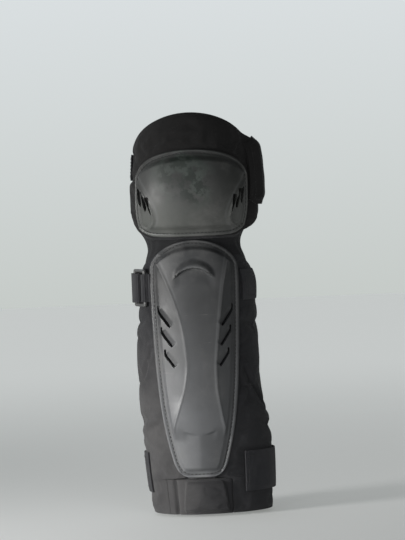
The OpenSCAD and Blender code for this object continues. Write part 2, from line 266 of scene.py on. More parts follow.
@dataclass(frozen=True)
class KneeCup:
    """The moulded knee cup's surface: s runs across it from -1 to 1 and v up it from 0 to 1."""

    span: float = 64.0
    low: float = 9.0
    wide: float = 81.0
    top: float = 120.0
    dome: float = 9.0
    flange: float = 6.5
    arc: float = 86.0
    vents: tuple[Vent, ...] = (
        Vent((64.6, 67), (62.6, 52), 3.5), Vent((58.6, 62), (55.8, 46), 3.5),
        Vent((51.6, 55), (48.4, 41), 3.5),
    )

    def low_at(self, s: Array) -> Array:
        """Height of the lower rim."""
        return self.low + 12 * np.abs(s) ** 6

    def top_at(self, s: Array) -> Array:
        """Height of the upper rim."""
        return self.wide + (self.top - self.wide) * np.sqrt(np.clip(1 - s * s, 0, 1))

    def rim(self, s: Array, z: Array) -> Array:
        """Distance in from the nearest rim."""
        sides = (1 - np.abs(s)) * self.arc
        return np.minimum(sides, np.minimum(z - self.low_at(s), self.top_at(s) - z))

    def lens(self, x: Array, z: Array) -> Array:
        """Distance out past the side hollow's curved lip."""
        upper = 30 * (np.clip(z - 36, 0, 60) / 51) ** 1.6
        lower = 20 * (1 - np.sqrt(np.clip(1 - (np.clip(36 - z, 0, 17.5) / 18) ** 2, 0, 1)))
        slant = 1 + 0.6 * np.clip(z - 36, 0, 50) / 50 + 1.2 * np.clip(36 - z, 0, 18) / 18
        return (np.abs(x) - 40.5 - upper - lower) / slant

    def rise(self, s: Array, z: Array) -> Array:
        """How far the shell stands out over its flange.

        Args:
            s: Across, -1 to 1.
            z: Heights.

        Returns:
            Heights over the flange.
        """
        rim = self.rim(s, z)
        x = s * 71
        inner = ramp(self.flange, self.flange + 6, rim)
        lens = self.lens(x, z)
        body = 2.5 + (self.dome - 2.5) * (1 - s * s) * np.sin(np.pi * np.clip((z - 2) / 124, 0, 1))
        rise = ramp(self.flange, self.flange + 8, rim) * body
        rise = rise + inner * (1.7 * bump(lens + 1.2, 1.5) - 3.6 * ramp(-0.6, 4.5, lens))
        rise = rise + 0.8 * bump(rim - 1.5, 1.3) - 0.9 * bump(rim - 4.1, 1.0)
        return rise

    def point(self, s: Array, v: Array, off: float, inset: float = 0.0) -> Array:
        """Points on the shell, standing off its inner face's form."""
        low, top = self.low_at(s) + inset, self.top_at(s) - inset
        z = low + (top - low) * v
        lift = self.rise(s * (1 - inset / self.arc), z)
        return KNEE.point(s * (self.span - inset * 0.75), z, off + lift)

    def wear(self, s: Array, z: Array) -> Array:
        """Wear and painted highlight: rubbing on the rim bead, and a painted highlight on the hollows' lips.
        """
        rim = self.rim(s, z)
        # The rim bead's share is wear; the share on the hollows' lips is a painted highlight.
        return np.clip(0.15 * bump(rim - 1.6, 1.0) + 0.3 * bump(self.lens(s * 71, z) + 1.2, 1.2), 0, 1)


@dataclass(frozen=True)
class ShinPlate:
    """The moulded shin plate's surface, with the same two directions as the knee cup's."""

    half: tuple[tuple[float, float], ...] = (
        (-300, 26), (-282, 34), (-228, 45), (-163, 51), (-60, 55), (-30, 54.5), (10, 52),
    )
    spine: tuple[tuple[float, float, float], ...] = (
        (-300, 12, 0), (-256, 26, 0), (-242, 30, 0), (-225, 27, 0.5), (-191, 19.5, 3.2),
        (-172, 17.5, 4.6), (-154, 17, 5.4), (-107, 21.5, 5.8), (-72, 28, 3.4), (-42, 35.5, 0.5),
        (-17, 43, -2), (10, 50, -3),
    )
    low: float = -0.86 * P.shin_h
    shoulder: float = -34.0
    top: float = 4.0
    height: float = 6.0
    flange: float = 6.5
    step_z: float = -247.0
    vents: tuple[Vent, ...] = (
        Vent((45.6, -87), (31.0, -106), 6), Vent((42.0, -114), (29.3, -131.5), 6),
        Vent((38.6, -143), (27.3, -158), 6),
    )

    def half_at(self, z: Array) -> Array:
        """Half-width of the plate."""
        return curve(np.array(self.half, float), z, 1)

    def low_at(self, s: Array) -> Array:
        """Height of the tip's edge."""
        return self.low + 9 * np.abs(s) ** 8

    def top_at(self, s: Array) -> Array:
        """Height of the top arc."""
        return self.shoulder + (self.top - self.shoulder) * np.sqrt(np.clip(1 - s * s, 0, 1))

    def cap(self, s: Array) -> tuple[Array, Array]:
        """The direction out of the top arc, across and up."""
        across, up = s / 55, np.sqrt(np.clip(1 - s * s, 0, 1)) / (self.top - self.shoulder)
        long = np.hypot(across, up)
        return across / long, up / long

    def place(self, s: Array, v: Array, inset: float = 0.0) -> tuple[Array, Array, Array]:
        """The x, the height and the distance from the rim at s and v.

        Args:
            s: Across, -1 to 1.
            v: Up, 0 to 1.
            inset: Distance in from the rim.

        Returns:
            Three arrays, in millimetres.
        """
        cap_x, cap_z = self.cap(s)
        low, top = self.low_at(s) + inset, self.top_at(s) - inset * cap_z
        z = low + (top - low) * v
        half = self.half_at(z)
        x = s * half - inset * (s + (cap_x - s) * v)
        there = np.clip(x / half, -1, 1)
        ends = np.minimum(z - self.low_at(there), (self.top_at(there) - z) * self.cap(there)[1])
        return x, z, np.minimum(half - np.abs(x), ends)

    def rise(self, x: Array, z: Array, rim: Array) -> Array:
        """How far the plate stands out over its flange.

        Args:
            x: Distances to the right.
            z: Heights.
            rim: Distances from the rim.

        Returns:
            Heights over the flange.
        """
        ridge = curve(np.array(self.spine, float), z, 1)
        lean = curve(np.array(self.spine, float), z, 2)
        out = np.abs(x - lean)
        room = np.maximum(6, self.half_at(z) - np.sign(x - lean) * lean - self.flange - ridge)
        side = np.clip(1 - (out - ridge) / room, 0, 1)
        above = np.where(out < ridge, 1 - 0.16 * (1 - (out / ridge) ** 2), side**1.25)
        below = 0.85 * np.clip(1.1 - np.sqrt(out * out + 7) / 26, 0, 1) ** 1.15
        step = ramp(-1.2, 1.2, z - self.step_z - 0.012 * x * x)
        fade = ramp(-10, 12, z - self.step_z)
        wide = ramp(13, 21, out)
        form = below + (above - below) * (step * (1 - wide) + fade * wide)
        rise = 2 + (self.height - 2) * form
        rise = rise + 0.55 * fade * bump(out - ridge, 1.5) * ramp(8, -14, z)
        rise = rise + self.brow(x, z)
        for vent in self.vents:
            rise = rise - self.scoop(vent, x, z)
        rise = ramp(self.flange, self.flange + 6, rim) * rise
        return rise + 0.8 * bump(rim - 1.6, 1.3) - 0.9 * bump(rim - 4.1, 1.0)

    def brow(self, x: Array, z: Array) -> Array:
        """The raised crescent near the top, with its sharp lower edge."""
        lower, upper = z + 32 + 0.024 * x * x, z + 21 + 0.026 * x * x
        lip = ramp(2, -9, upper) * ramp(-0.8, 0.8, lower)
        return ramp(25, 15, np.abs(x)) * (4.2 * lip - 2.0 * ramp(0.8, -0.8, lower) * ramp(-22, -2, lower))

    @staticmethod
    def scoop(vent: Vent, x: Array, z: Array) -> Array:
        """The sloping floor beside a vent slot, deepest along the slot."""
        along, across = vent.local(x, z)
        ends = ramp(-1.0, 0.6, along) * ramp(vent.length + 1.0, vent.length - 1.2, along)
        return 3.0 * ends * ramp(-0.9, 0.6, across) * np.clip(1 - across / 7.5, 0, 1)

    def point(self, s: Array, v: Array, off: float, inset: float = 0.0) -> Array:
        """Points on the plate, standing off its inner face's form."""
        x, z, rim = self.place(s, v, inset)
        return SHIN.point(SHIN.angle(x, z), z, off + self.rise(x, z, rim))

    def wear(self, x: Array, z: Array, rim: Array) -> Array:
        """Wear on the rim bead and tip, and painted highlights along the ridges and the brow's crest.

        Args:
            x: Distances to the right.
            z: Heights.
            rim: Distances from the rim.

        Returns:
            Shares from 0, bare, to 1.
        """
        ridge = curve(np.array(self.spine, float), z, 1)
        lean = curve(np.array(self.spine, float), z, 2)
        tip = ramp(self.low + 14, self.low, z) * ramp(16, 4, np.abs(x))
        # The rim bead's share is wear; the ridge lines carry a painted highlight.
        edge = 0.14 * bump(rim - 1.7, 1.0) + 0.30 * bump(np.abs(x - lean) - ridge, 1.0) * ramp(-250, -235, z)
        # A painted highlight along the brow's crest.
        brow = 0.35 * ramp(22, 12, np.abs(x)) * bump(z + 30 + 0.024 * x * x, 2.2)
        return np.clip(edge + brow + tip, 0, 1)


CUP = KneeCup()
PLATE = ShinPlate()


def seam_angle(side: Side, z: Array) -> Array:
    """Angle of the seam between the front panel and a wing, just under the plate's rim."""
    return SHIN.angle(side.value * (PLATE.half_at(z) - 6), z)


# ---------------------------------------------------------------- modelling helpers


def pick(obj: bpy.types.Object) -> bpy.types.Object:
    """Deselects everything, then makes one object selected and active.

    Args:
        obj: The object.

    Returns:
        The same object.
    """
    if bpy.context.mode != "OBJECT":
        bpy.ops.object.mode_set(mode="OBJECT")
    bpy.ops.object.select_all(action="DESELECT")
    obj.select_set(True)
    bpy.context.view_layer.objects.active = obj
    return obj


def applied(obj: bpy.types.Object, kind: str, **settings: object) -> bpy.types.Object:
    """Adds a modifier with its settings and applies it.

    Args:
        obj: The object.
        kind: The modifier's type.
        **settings: Its properties.

    Returns:
        The same object.
    """
    pick(obj)
    bpy.ops.object.modifier_add(type=kind)
    modifier = obj.modifiers[-1]
    for name, value in settings.items():
        setattr(modifier, name, value)
    bpy.ops.object.modifier_apply(modifier=modifier.name)
    return obj


def rounded(obj: bpy.types.Object, width: float, segments: int, degrees: float) -> bpy.types.Object:
    """Bevels the edges that are sharper than an angle."""
    return applied(obj, "BEVEL", width=width * MM, segments=segments, limit_method="ANGLE",
                   angle_limit=math.radians(degrees))


def coordinates(obj: bpy.types.Object) -> Array:
    """A mesh's vertices as an array, in millimetres."""
    flat = np.empty(len(obj.data.vertices) * 3)
    obj.data.vertices.foreach_get("co", flat)
    return flat.reshape(-1, 3) / MM


def move_to(obj: bpy.types.Object, points: Array) -> None:
    """Moves a mesh's vertices to points in millimetres."""
    obj.data.vertices.foreach_set("co", (points * MM).ravel())
    obj.data.update()


def paint(obj: bpy.types.Object, name: str, values: Array) -> None:
    """Keeps one number a vertex as an attribute that a material reads."""
    attribute = obj.data.attributes.get(name) or obj.data.attributes.new(name, "FLOAT", "POINT")
    attribute.data.foreach_set("value", np.asarray(values, np.float32))


def shade(obj: bpy.types.Object, degrees: float = 40.0) -> bpy.types.Object:
    """Smooth shading, with edges sharper than the angle left hard."""
    pick(obj)
    bpy.ops.object.shade_smooth_by_angle(angle=math.radians(degrees))
    return obj


def patch(name: str, cols: int, rows: int, shape: Shape) -> bpy.types.Object:
    """A grid primitive laid onto a surface, with a UV map in metres along it.

    Args:
        name: The new object's name.
        cols: Faces across.
        rows: Faces up.
        shape: Turns u and v, each from 0 to 1, into points in millimetres.

    Returns:
        The new object.
    """
    if bpy.context.mode != "OBJECT":
        bpy.ops.object.mode_set(mode="OBJECT")
    bpy.ops.object.select_all(action="DESELECT")
    bpy.ops.mesh.primitive_grid_add(x_subdivisions=cols, y_subdivisions=rows, size=1)
    obj = bpy.context.object
    obj.name = obj.data.name = name
    unit = coordinates(obj) * MM + 0.5
    points = shape(unit[:, 0], unit[:, 1])
    move_to(obj, points)
    spans = []
    for axis in (0, 1):
        t = np.linspace(0, 1, 60)
        uv = (t, np.full(60, 0.5)) if axis == 0 else (np.full(60, 0.5), t)
        line = shape(*uv)
        spans.append(np.linalg.norm(np.diff(line, axis=0), axis=1).sum() * MM)
    layer = obj.data.uv_layers[0]
    uvs = np.empty(len(layer.data) * 2)
    layer.data.foreach_get("uv", uvs)
    layer.data.foreach_set("uv", (uvs.reshape(-1, 2) * spans).ravel())
    return obj


def thicken(obj: bpy.types.Object, thickness: float, round_by: float = 0.0) -> bpy.types.Object:
    """Gives a patch a wall on its inner side, with rounded edges if asked."""
    applied(obj, "SOLIDIFY", thickness=thickness * MM, offset=-1, use_even_offset=True)
    if round_by:
        rounded(obj, round_by, 3, 50)
    return obj


def smooth_back(obj: bpy.types.Object, count: int, points: Array) -> None:
    """Puts a thickened patch's back face on points of its own, clear of the front's creases."""
    now = coordinates(obj)
    now[count:2 * count] = points
    move_to(obj, now)


def swell(obj: bpy.types.Object, pressure: float, cap: float, freedom: Array, grow: float = 0.0) -> None:
    """Inflates a closed pad with Blender's cloth and keeps the result in its mesh.

    Args:
        obj: A closed mesh.
        pressure: The cloth's inner pressure.
        cap: The furthest that a point may move, in millimetres.
        freedom: One number a vertex, from 0, held, to 1, free.
        grow: Share by which the cloth is cut larger than the pad, which makes folds.
    """
    rest = coordinates(obj)
    pins = obj.vertex_groups.new(name="held")
    for index in np.nonzero(freedom < 0.05)[0].tolist():
        pins.add([index], 1.0, "REPLACE")
    pick(obj)
    bpy.ops.object.modifier_add(type="CLOTH")
    cloth = obj.modifiers[-1]
    cloth.settings.quality = 5
    cloth.settings.mass = 0.2
    cloth.settings.tension_stiffness = cloth.settings.compression_stiffness = 12
    cloth.settings.bending_stiffness = 0.3
    cloth.settings.use_pressure = True
    cloth.settings.uniform_pressure_force = pressure
    cloth.settings.vertex_group_mass = pins.name
    cloth.settings.effector_weights.gravity = 0
    cloth.settings.shrink_min = -grow
    scene = bpy.context.scene
    for step in range(1, 21):
        scene.frame_set(step)
    evaluated = obj.evaluated_get(bpy.context.evaluated_depsgraph_get())
    flat = np.empty(len(evaluated.data.vertices) * 3)
    evaluated.data.vertices.foreach_get("co", flat)
    move = flat.reshape(-1, 3) / MM - rest
    obj.modifiers.remove(cloth)
    scene.frame_set(1)
    length = np.linalg.norm(move, axis=1, keepdims=True)
    limit = np.minimum(1.0, cap / np.maximum(length, 1e-6))
    move_to(obj, rest + move * limit * freedom[:, None])
    obj.vertex_groups.clear()


def flat_area(obj: bpy.types.Object) -> float:
    """A mesh's whole area, in square metres."""
    return sum(face.area for face in obj.data.polygons)


def joined(name: str, parts: Iterable[bpy.types.Object]) -> bpy.types.Object:
    """Joins meshes into one piece.

    Args:
        name: The new object's name.
        parts: The meshes.

    Returns:
        The one piece.
    """
    parts = list(parts)
    pick(parts[0])
    for part in parts[1:]:
        part.select_set(True)
    bpy.ops.object.join()
    result = bpy.context.object
    result.name = result.data.name = name
    return result


@dataclass
class Stitcher:
    """Lays sewing stitches along a line of points: one stitch is modelled, and the rest are copies."""

    length: float = 3.2
    space: float = 1.3
    width: float = 0.95
    sunk: float = 0.12

    def model(self) -> tuple[Array, list[tuple[int, ...]]]:
        """One rounded stitch along +X, lying on z = 0, as points and faces.

        Returns:
            Points in millimetres, and faces as rows of point numbers.
        """
        bpy.ops.object.select_all(action="DESELECT")
        bpy.ops.mesh.primitive_uv_sphere_add(segments=8, ring_count=6, radius=0.5)
        obj = bpy.context.object
        bpy.ops.object.mode_set(mode="EDIT")
        bpy.ops.transform.resize(value=(self.length, self.width, self.width * 0.8))
        bpy.ops.object.mode_set(mode="OBJECT")
        points = coordinates(obj) * MM
        points[:, 2] += self.width * (0.4 - self.sunk)
        faces = [tuple(face.vertices) for face in obj.data.polygons]
        bpy.data.objects.remove(obj)
        return points, faces

    def sew(self, name: str, line: Array, normals: Array) -> bpy.types.Object:
        """Stitches along a line, standing on a surface with the given normals.

        Args:
            name: The new object's name.
            line: Points on the surface, in millimetres.
            normals: The surface's outward direction at each point.

        Returns:
            All the stitches as one piece.
        """
        points, faces = self.model()
        steps = np.linalg.norm(np.diff(line, axis=0), axis=1)
        along = np.concatenate([[0], np.cumsum(steps)])
        count = int(along[-1] // (self.length + self.space))
        at = (np.arange(count) + 0.5) * along[-1] / count
        half = self.length / 2

        def place(t: Array, table: Array) -> Array:
            """Rows of a table at distances along the line."""
            return np.stack([np.interp(t, along, table[:, k]) for k in range(3)], 1)

        middle, up = place(at, line), place(at, normals)
        ahead = place(at + half, line) - place(at - half, line)
        ahead /= np.linalg.norm(ahead, axis=1, keepdims=True)
        across = np.cross(up, ahead)
        across /= np.linalg.norm(across, axis=1, keepdims=True)
        up = np.cross(ahead, across)
        spots = (middle[:, None, :] + points[None, :, 0:1] * ahead[:, None, :]
                 + points[None, :, 1:2] * across[:, None, :] + points[None, :, 2:3] * up[:, None, :])
        mesh = bpy.data.meshes.new(name)
        all_faces = [tuple(v + k * len(points) for v in face) for k in range(count) for face in faces]
        mesh.from_pydata((spots.reshape(-1, 3) * MM).tolist(), [], all_faces)
        obj = bpy.data.objects.new(name, mesh)
        bpy.context.scene.collection.objects.link(obj)
        return shade(obj, 80)


def surface_line(form: LegForm, angles: Array, heights: Array, off: float) -> tuple[Array, Array]:
    """Points along a line on a form, and the form's outward directions there."""
    points = form.point(angles, heights, np.full(len(angles), off))
    normals = form.point(angles, heights, np.full(len(angles), off + 1.0)) - points
    return points, normals / np.linalg.norm(normals, axis=1, keepdims=True)


# ---------------------------------------------------------------- finishes


class Recipe:
    """Builds one material's node tree, ending in a Principled shader."""

    def __init__(self, name: str) -> None:
        """Starts an empty material of that name."""
        self.material = bpy.data.materials.new(name)
        self.material.use_nodes = True
        self.tree = self.material.node_tree
        self.tree.nodes.clear()
        self.shader = self.node("ShaderNodeBsdfPrincipled")
        output = self.node("ShaderNodeOutputMaterial")
        self.tree.links.new(self.shader.outputs["BSDF"], output.inputs["Surface"])

    def node(self, kind: str, **settings: object) -> bpy.types.Node:
        """Adds a node with its settings."""
        made = self.tree.nodes.new(kind)
        for name, value in settings.items():
            setattr(made, name, value)
        return made

    def put(self, socket: bpy.types.NodeSocket, value: object) -> None:
        """Links a socket, or sets a constant."""
        if isinstance(value, bpy.types.NodeSocket):
            self.tree.links.new(value, socket)
        else:
            socket.default_value = value

    def place(self, scale: Sequence[float] = (1, 1, 1), turn: float = 0.0) -> bpy.types.NodeSocket:
        """Object coordinates, scaled, and turned about Y by a number of degrees."""
        mapping = self.node("ShaderNodeMapping")
        mapping.inputs["Scale"].default_value = scale
        mapping.inputs["Rotation"].default_value = (0, math.radians(turn), 0)
        self.put(mapping.inputs["Vector"], self.node("ShaderNodeTexCoord").outputs["Object"])
        return mapping.outputs["Vector"]

    def uv(self, scale: Sequence[float] = (1, 1, 1), turn: float = 0.0) -> bpy.types.NodeSocket:
        """The piece's own UV map in metres, scaled and turned."""
        mapping = self.node("ShaderNodeMapping")
        mapping.inputs["Scale"].default_value = scale
        mapping.inputs["Rotation"].default_value = (0, 0, math.radians(turn))
        self.put(mapping.inputs["Vector"], self.node("ShaderNodeTexCoord").outputs["UV"])
        return mapping.outputs["Vector"]

    def noise(self, where: bpy.types.NodeSocket, scale: float, detail: float = 4.0,
              roughness: float = 0.55) -> bpy.types.NodeSocket:
        """Noise from 0 to 1.

        Args:
            where: Coordinates.
            scale: Its scale.
            detail: Its octaves.
            roughness: How strong the finer ones are.

        Returns:
            Its value.
        """
        made = self.node("ShaderNodeTexNoise")
        self.put(made.inputs["Vector"], where)
        made.inputs["Scale"].default_value = scale
        made.inputs["Detail"].default_value = detail
        made.inputs["Roughness"].default_value = roughness
        return made.outputs["Fac"]

    def waves(self, where: bpy.types.NodeSocket, scale: float, axis: str, warp: float = 0.0,
              ) -> bpy.types.NodeSocket:
        """Parallel waves across an axis.

        Args:
            where: Coordinates.
            scale: Its scale.
            axis: Across which axis.
            warp: How wavy the bands are.

        Returns:
            Its value.
        """
        made = self.node("ShaderNodeTexWave", wave_type="BANDS", bands_direction=axis)
        self.put(made.inputs["Vector"], where)
        made.inputs["Scale"].default_value = scale
        made.inputs["Distortion"].default_value = warp
        made.inputs["Detail Scale"].default_value = 2.0
        return made.outputs["Fac"]

    def remap(self, value: bpy.types.NodeSocket, low: float, high: float, to_low: float = 0.0,
              to_high: float = 1.0) -> bpy.types.NodeSocket:
        """Spreads low..high over to_low..to_high, smoothly and clamped.

        Args:
            value: The number.
            low: What becomes to_low.
            high: What becomes to_high.
            to_low: The new low end.
            to_high: The new high end.

        Returns:
            The new number.
        """
        made = self.node("ShaderNodeMapRange", interpolation_type="SMOOTHSTEP")
        self.put(made.inputs["Value"], value)
        for name, number in zip(("From Min", "From Max", "To Min", "To Max"),
                                (low, high, to_low, to_high)):
            made.inputs[name].default_value = number
        return made.outputs["Result"]

    def maths(self, kind: str, a: object, b: object) -> bpy.types.NodeSocket:
        """One arithmetic step on two numbers."""
        made = self.node("ShaderNodeMath", operation=kind)
        self.put(made.inputs[0], a)
        self.put(made.inputs[1], b)
        return made.outputs["Value"]

    def blend(self, factor: bpy.types.NodeSocket, a: object, b: object) -> bpy.types.NodeSocket:
        """Mixes two colours.

        Args:
            factor: 0 for a, 1 for b.
            a: A colour.
            b: Another colour.

        Returns:
            The mixed colour.
        """
        made = self.node("ShaderNodeMix", data_type="RGBA")
        self.put(made.inputs["Factor"], factor)
        self.put(made.inputs[6], a)
        self.put(made.inputs[7], b)
        return made.outputs[2]

    def attribute(self, name: str) -> bpy.types.NodeSocket:
        """A number painted on the piece's vertices."""
        return self.node("ShaderNodeAttribute", attribute_name=name).outputs["Fac"]

    def spot(self, centre: Sequence[float], reach: float) -> bpy.types.NodeSocket:
        """1 at a place in the frame, falling smoothly to 0 at a distance, in metres."""
        near = self.node("ShaderNodeVectorMath", operation="DISTANCE")
        self.put(near.inputs[0], self.place())
        near.inputs[1].default_value = centre
        return self.remap(near.outputs["Value"], reach * 0.45, reach, 1.0, 0.0)

    def height(self) -> bpy.types.NodeSocket:
        """Height in the frame, in metres."""
        split = self.node("ShaderNodeSeparateXYZ")
        self.put(split.inputs["Vector"], self.place())
        return split.outputs["Z"]

    def across(self) -> bpy.types.NodeSocket:
        """Distance to the right in the frame, in metres."""
        split = self.node("ShaderNodeSeparateXYZ")
        self.put(split.inputs["Vector"], self.place())
        return split.outputs["X"]

    def relief(self, value: bpy.types.NodeSocket, strength: float, depth: float,
               under: bpy.types.NodeSocket | None = None) -> bpy.types.NodeSocket:
        """A bump, laid over another if one is given.

        Args:
            value: The height.
            strength: The bump's strength.
            depth: Its depth, in metres.
            under: Another bump, or None.

        Returns:
            The bumped normal.
        """
        made = self.node("ShaderNodeBump")
        made.inputs["Strength"].default_value = strength
        made.inputs["Distance"].default_value = depth
        self.put(made.inputs["Height"], value)
        if under is not None:
            self.put(made.inputs["Normal"], under)
        return made.outputs["Normal"]

    def done(self, colour: object, roughness: object, normal: bpy.types.NodeSocket | None,
             **others: object) -> bpy.types.Material:
        """Feeds the shader and returns the material.

        Args:
            colour: The base colour, linked or fixed.
            roughness: The roughness, linked or fixed.
            normal: The bumped normal, or None.
            **others: What goes to other shader sockets, with _ for a space.

        Returns:
            The finished material.
        """
        self.put(self.shader.inputs["Base Color"], colour)
        self.put(self.shader.inputs["Roughness"], roughness)
        if normal is not None:
            self.put(self.shader.inputs["Normal"], normal)
        for name, value in others.items():
            self.put(self.shader.inputs[name.replace("_", " ")], value)
        return self.material


def grey(value: float, warm: float = 0.0) -> tuple[float, float, float, float]:
    """A linear grey, a little warm if positive or cool if negative."""
    return (value * (1 + warm), value, value * (1 - warm), 1.0)


@dataclass(frozen=True)
class MouldedPlastic:
    """Tough moulded plastic, scuffed and dusty, polished where its edges rub, with painted highlights,
    painted shade in its rim groove and painted light towards the lower left.
    """

    name: str
    colour: float = 0.040
    # grey of scratches, wear and painted highlights
    wear_and_highlight_grey: float = 0.15
    roughness: float = 0.50
    scuffs: float = 1.0
    tint: tuple[float, float, float] = (1.0, 1.0, 1.0)
    # painted light: heights where the lift towards the bottom starts and ends, and the gain of its pale tone
    fade: tuple[float, float, float] = (0.0, -1.0, 1.0)
    clouds: tuple[tuple[tuple[float, float, float], float], ...] = ()

    def build(self) -> bpy.types.Material:
        """The material, which reads the wear, painted highlights and painted groove shade laid on the piece.

        Returns:
            The material.
        """
        r = Recipe(self.name)
        place = r.place()
        mottle = r.remap(r.noise(place, 28, 6, 0.6), 0.3, 0.72)
        dark, light = (tuple(self.colour * k * t for t in self.tint) + (1.0,) for k in (0.86, 1.18))
        colour = r.blend(mottle, dark, light)
        # Painted light: the colour is lifted to a pale tone towards the bottom and the left, where the key
        # light falls.
        top, bottom, gain = self.fade
        dust_and_painted_light = r.maths("MULTIPLY", r.remap(r.height(), top, bottom), r.remap(r.across(), 0.03, -0.03, 0.5, 1))
        patchy = r.remap(r.noise(place, 19, 7, 0.6), 0.2, 0.7, 0.6, 1.0)
        painted_light_tone = tuple(self.colour * gain * t for t in self.tint) + (1.0,)
        colour = r.blend(r.maths("MULTIPLY", dust_and_painted_light, patchy), colour, painted_light_tone)
        dust = r.maths("MULTIPLY", r.remap(r.noise(place, 11, 8, 0.7), 0.46, 0.8), 0.42 * self.scuffs)
        colour = r.blend(dust, colour, grey(0.15, 0.04))
        scratch = None
        for turn, stretch in ((18, (26, 26, 520)), (-52, (18, 18, 430)), (82, (30, 30, 610))):
            streak = r.remap(r.noise(r.place(stretch, turn), 1.0, 3, 0.6), 0.69, 0.77)
            scratch = streak if scratch is None else r.maths("MAXIMUM", scratch, streak)
        patchy = r.remap(r.noise(place, 17, 3), 0.42, 0.66)
        scratch = r.maths("MULTIPLY", r.maths("MULTIPLY", scratch, patchy), 0.5 * self.scuffs)
        colour = r.blend(scratch, colour, grey(self.wear_and_highlight_grey))
        for centre, reach in self.clouds:
            cloud = r.remap(r.noise(place, 62, 8, 0.66), 0.47, 0.56)
            cloud = r.maths("MULTIPLY", cloud, r.spot(centre, reach))
            haze = r.remap(r.noise(place, 40, 5), 0.45, 0.62)
            bloom = r.maths("MULTIPLY", haze, r.spot(centre, reach * 1.3))
            colour = r.blend(r.maths("MULTIPLY", bloom, 0.55), colour, (0.036, 0.046, 0.039, 1))
            colour = r.blend(r.maths("MULTIPLY", cloud, 0.9), colour, (0.006, 0.010, 0.007, 1))
        # Wear on rims and tips, and painted highlights on ridges, brow and hollow lips.
        rubbed_and_highlit = r.maths("MULTIPLY", r.attribute("wear"), r.remap(r.noise(place, 60, 5), 0.2, 0.62, 0.35, 1))
        colour = r.blend(r.maths("MULTIPLY", rubbed_and_highlit, 0.72), colour, grey(self.wear_and_highlight_grey, -0.02))
        # Painted shade: the rim groove under the stitches is darkened.
        colour = r.blend(r.maths("MULTIPLY", r.attribute("groove_shade"), 0.45), colour, grey(0.012))
        gloss = r.remap(r.noise(place, 22, 6, 0.65), 0.25, 0.75, self.roughness - 0.07, self.roughness + 0.14)
        grain = r.relief(r.noise(place, 1400, 2), 0.10, 0.0003)
        normal = r.relief(scratch, 0.35, 0.0004, r.relief(r.noise(place, 90, 4), 0.16, 0.0008, grain))
        return r.done(colour, gloss, normal, IOR=1.49, Specular_IOR_Level=0.5)


@dataclass(frozen=True)
class WovenCloth:
    """Tough woven cloth in its UV map's directions, with dust that settles low down, kept to the left side as
    painted light where the key light falls.
    """

    name: str
    colour: tuple[float, float, float]
    dust: tuple[float, float, float] = (0.11, 0.106, 0.104)
    # height below which the dust film starts; the film also carries painted light on the left
    dust_and_light_below: float | None = None
    thread: float = 0.7
    roughness: float = 0.86

    def build(self) -> bpy.types.Material:
        """The material.

        Returns:
            The material.
        """
        r = Recipe(self.name)
        place = r.place()
        pitch = math.pi / (self.thread * MM) / 10
        warp = r.waves(r.uv(turn=45), pitch, "X", 0.6)
        weft = r.waves(r.uv(turn=45), pitch, "Y", 0.6)
        weave = r.maths("MULTIPLY", warp, weft)
        mottle = r.remap(r.noise(place, 24, 5, 0.6), 0.3, 0.7)
        base = (*self.colour, 1.0)
        faded = tuple(c * 1.55 + 0.004 for c in self.colour) + (1.0,)
        colour = r.blend(r.maths("MULTIPLY", mottle, 0.55), base, faded)
        colour = r.blend(r.maths("MULTIPLY", r.remap(weave, 0.0, 0.9, 1.0, 0.0), 0.35), colour, grey(0.006))
        specks = r.remap(r.noise(place, 420, 3, 0.7), 0.60, 0.80, 0, 0.25)
        colour = r.blend(specks, colour, (*self.dust, 1.0))
        if self.dust_and_light_below is not None:
            fall = r.remap(r.height(), self.dust_and_light_below, self.dust_and_light_below - 0.20)
            # Painted light: the film is kept mostly to the left, the lit side.
            fall = r.maths("MULTIPLY", fall, r.remap(r.across(), 0.05, -0.05, 0.12, 1.0))
            patchy = r.remap(r.noise(place, 13, 7, 0.65), 0.25, 0.75, 0.35, 1.0)
            dust_and_painted_light = r.maths("MULTIPLY", r.maths("MULTIPLY", fall, patchy), 0.5)
            colour = r.blend(dust_and_painted_light, colour, (*self.dust, 1.0))
        rough = r.relief(r.noise(place, 180, 5, 0.6), 0.25, 0.0006)
        normal = r.relief(weave, 0.55, 0.0003, rough)
        return r.done(colour, self.roughness, normal, Sheen_Weight=0.07, Sheen_Roughness=0.45,
                      Specular_IOR_Level=0.2)


@dataclass(frozen=True)
class RibbedElastic:
    """Woven elastic webbing, ribbed across its width and a little mottled."""

    name: str
    colour: tuple[float, float, float] = (0.016, 0.016, 0.019)
    rib: float = 1.6

    def build(self) -> bpy.types.Material:
        """The material."""
        r = Recipe(self.name)
        ribs = r.waves(r.uv(), math.pi / (self.rib * MM) / 10, "X", 0.25)
        fine = r.waves(r.uv(), math.pi / (0.55 * MM) / 10, "Y", 0.5)
        mottle = r.remap(r.noise(r.place(), 30, 5), 0.3, 0.7)
        bright = tuple(c * 2.0 + 0.003 for c in self.colour) + (1.0,)
        colour = r.blend(r.maths("MULTIPLY", ribs, 0.5), (*self.colour, 1.0), bright)
        colour = r.blend(r.maths("MULTIPLY", mottle, 0.35), colour, (0.045, 0.044, 0.045, 1))
        normal = r.relief(ribs, 0.7, 0.0005, r.relief(fine, 0.4, 0.0002))
        return r.done(colour, 0.8, normal, Sheen_Weight=0.06, Specular_IOR_Level=0.25)


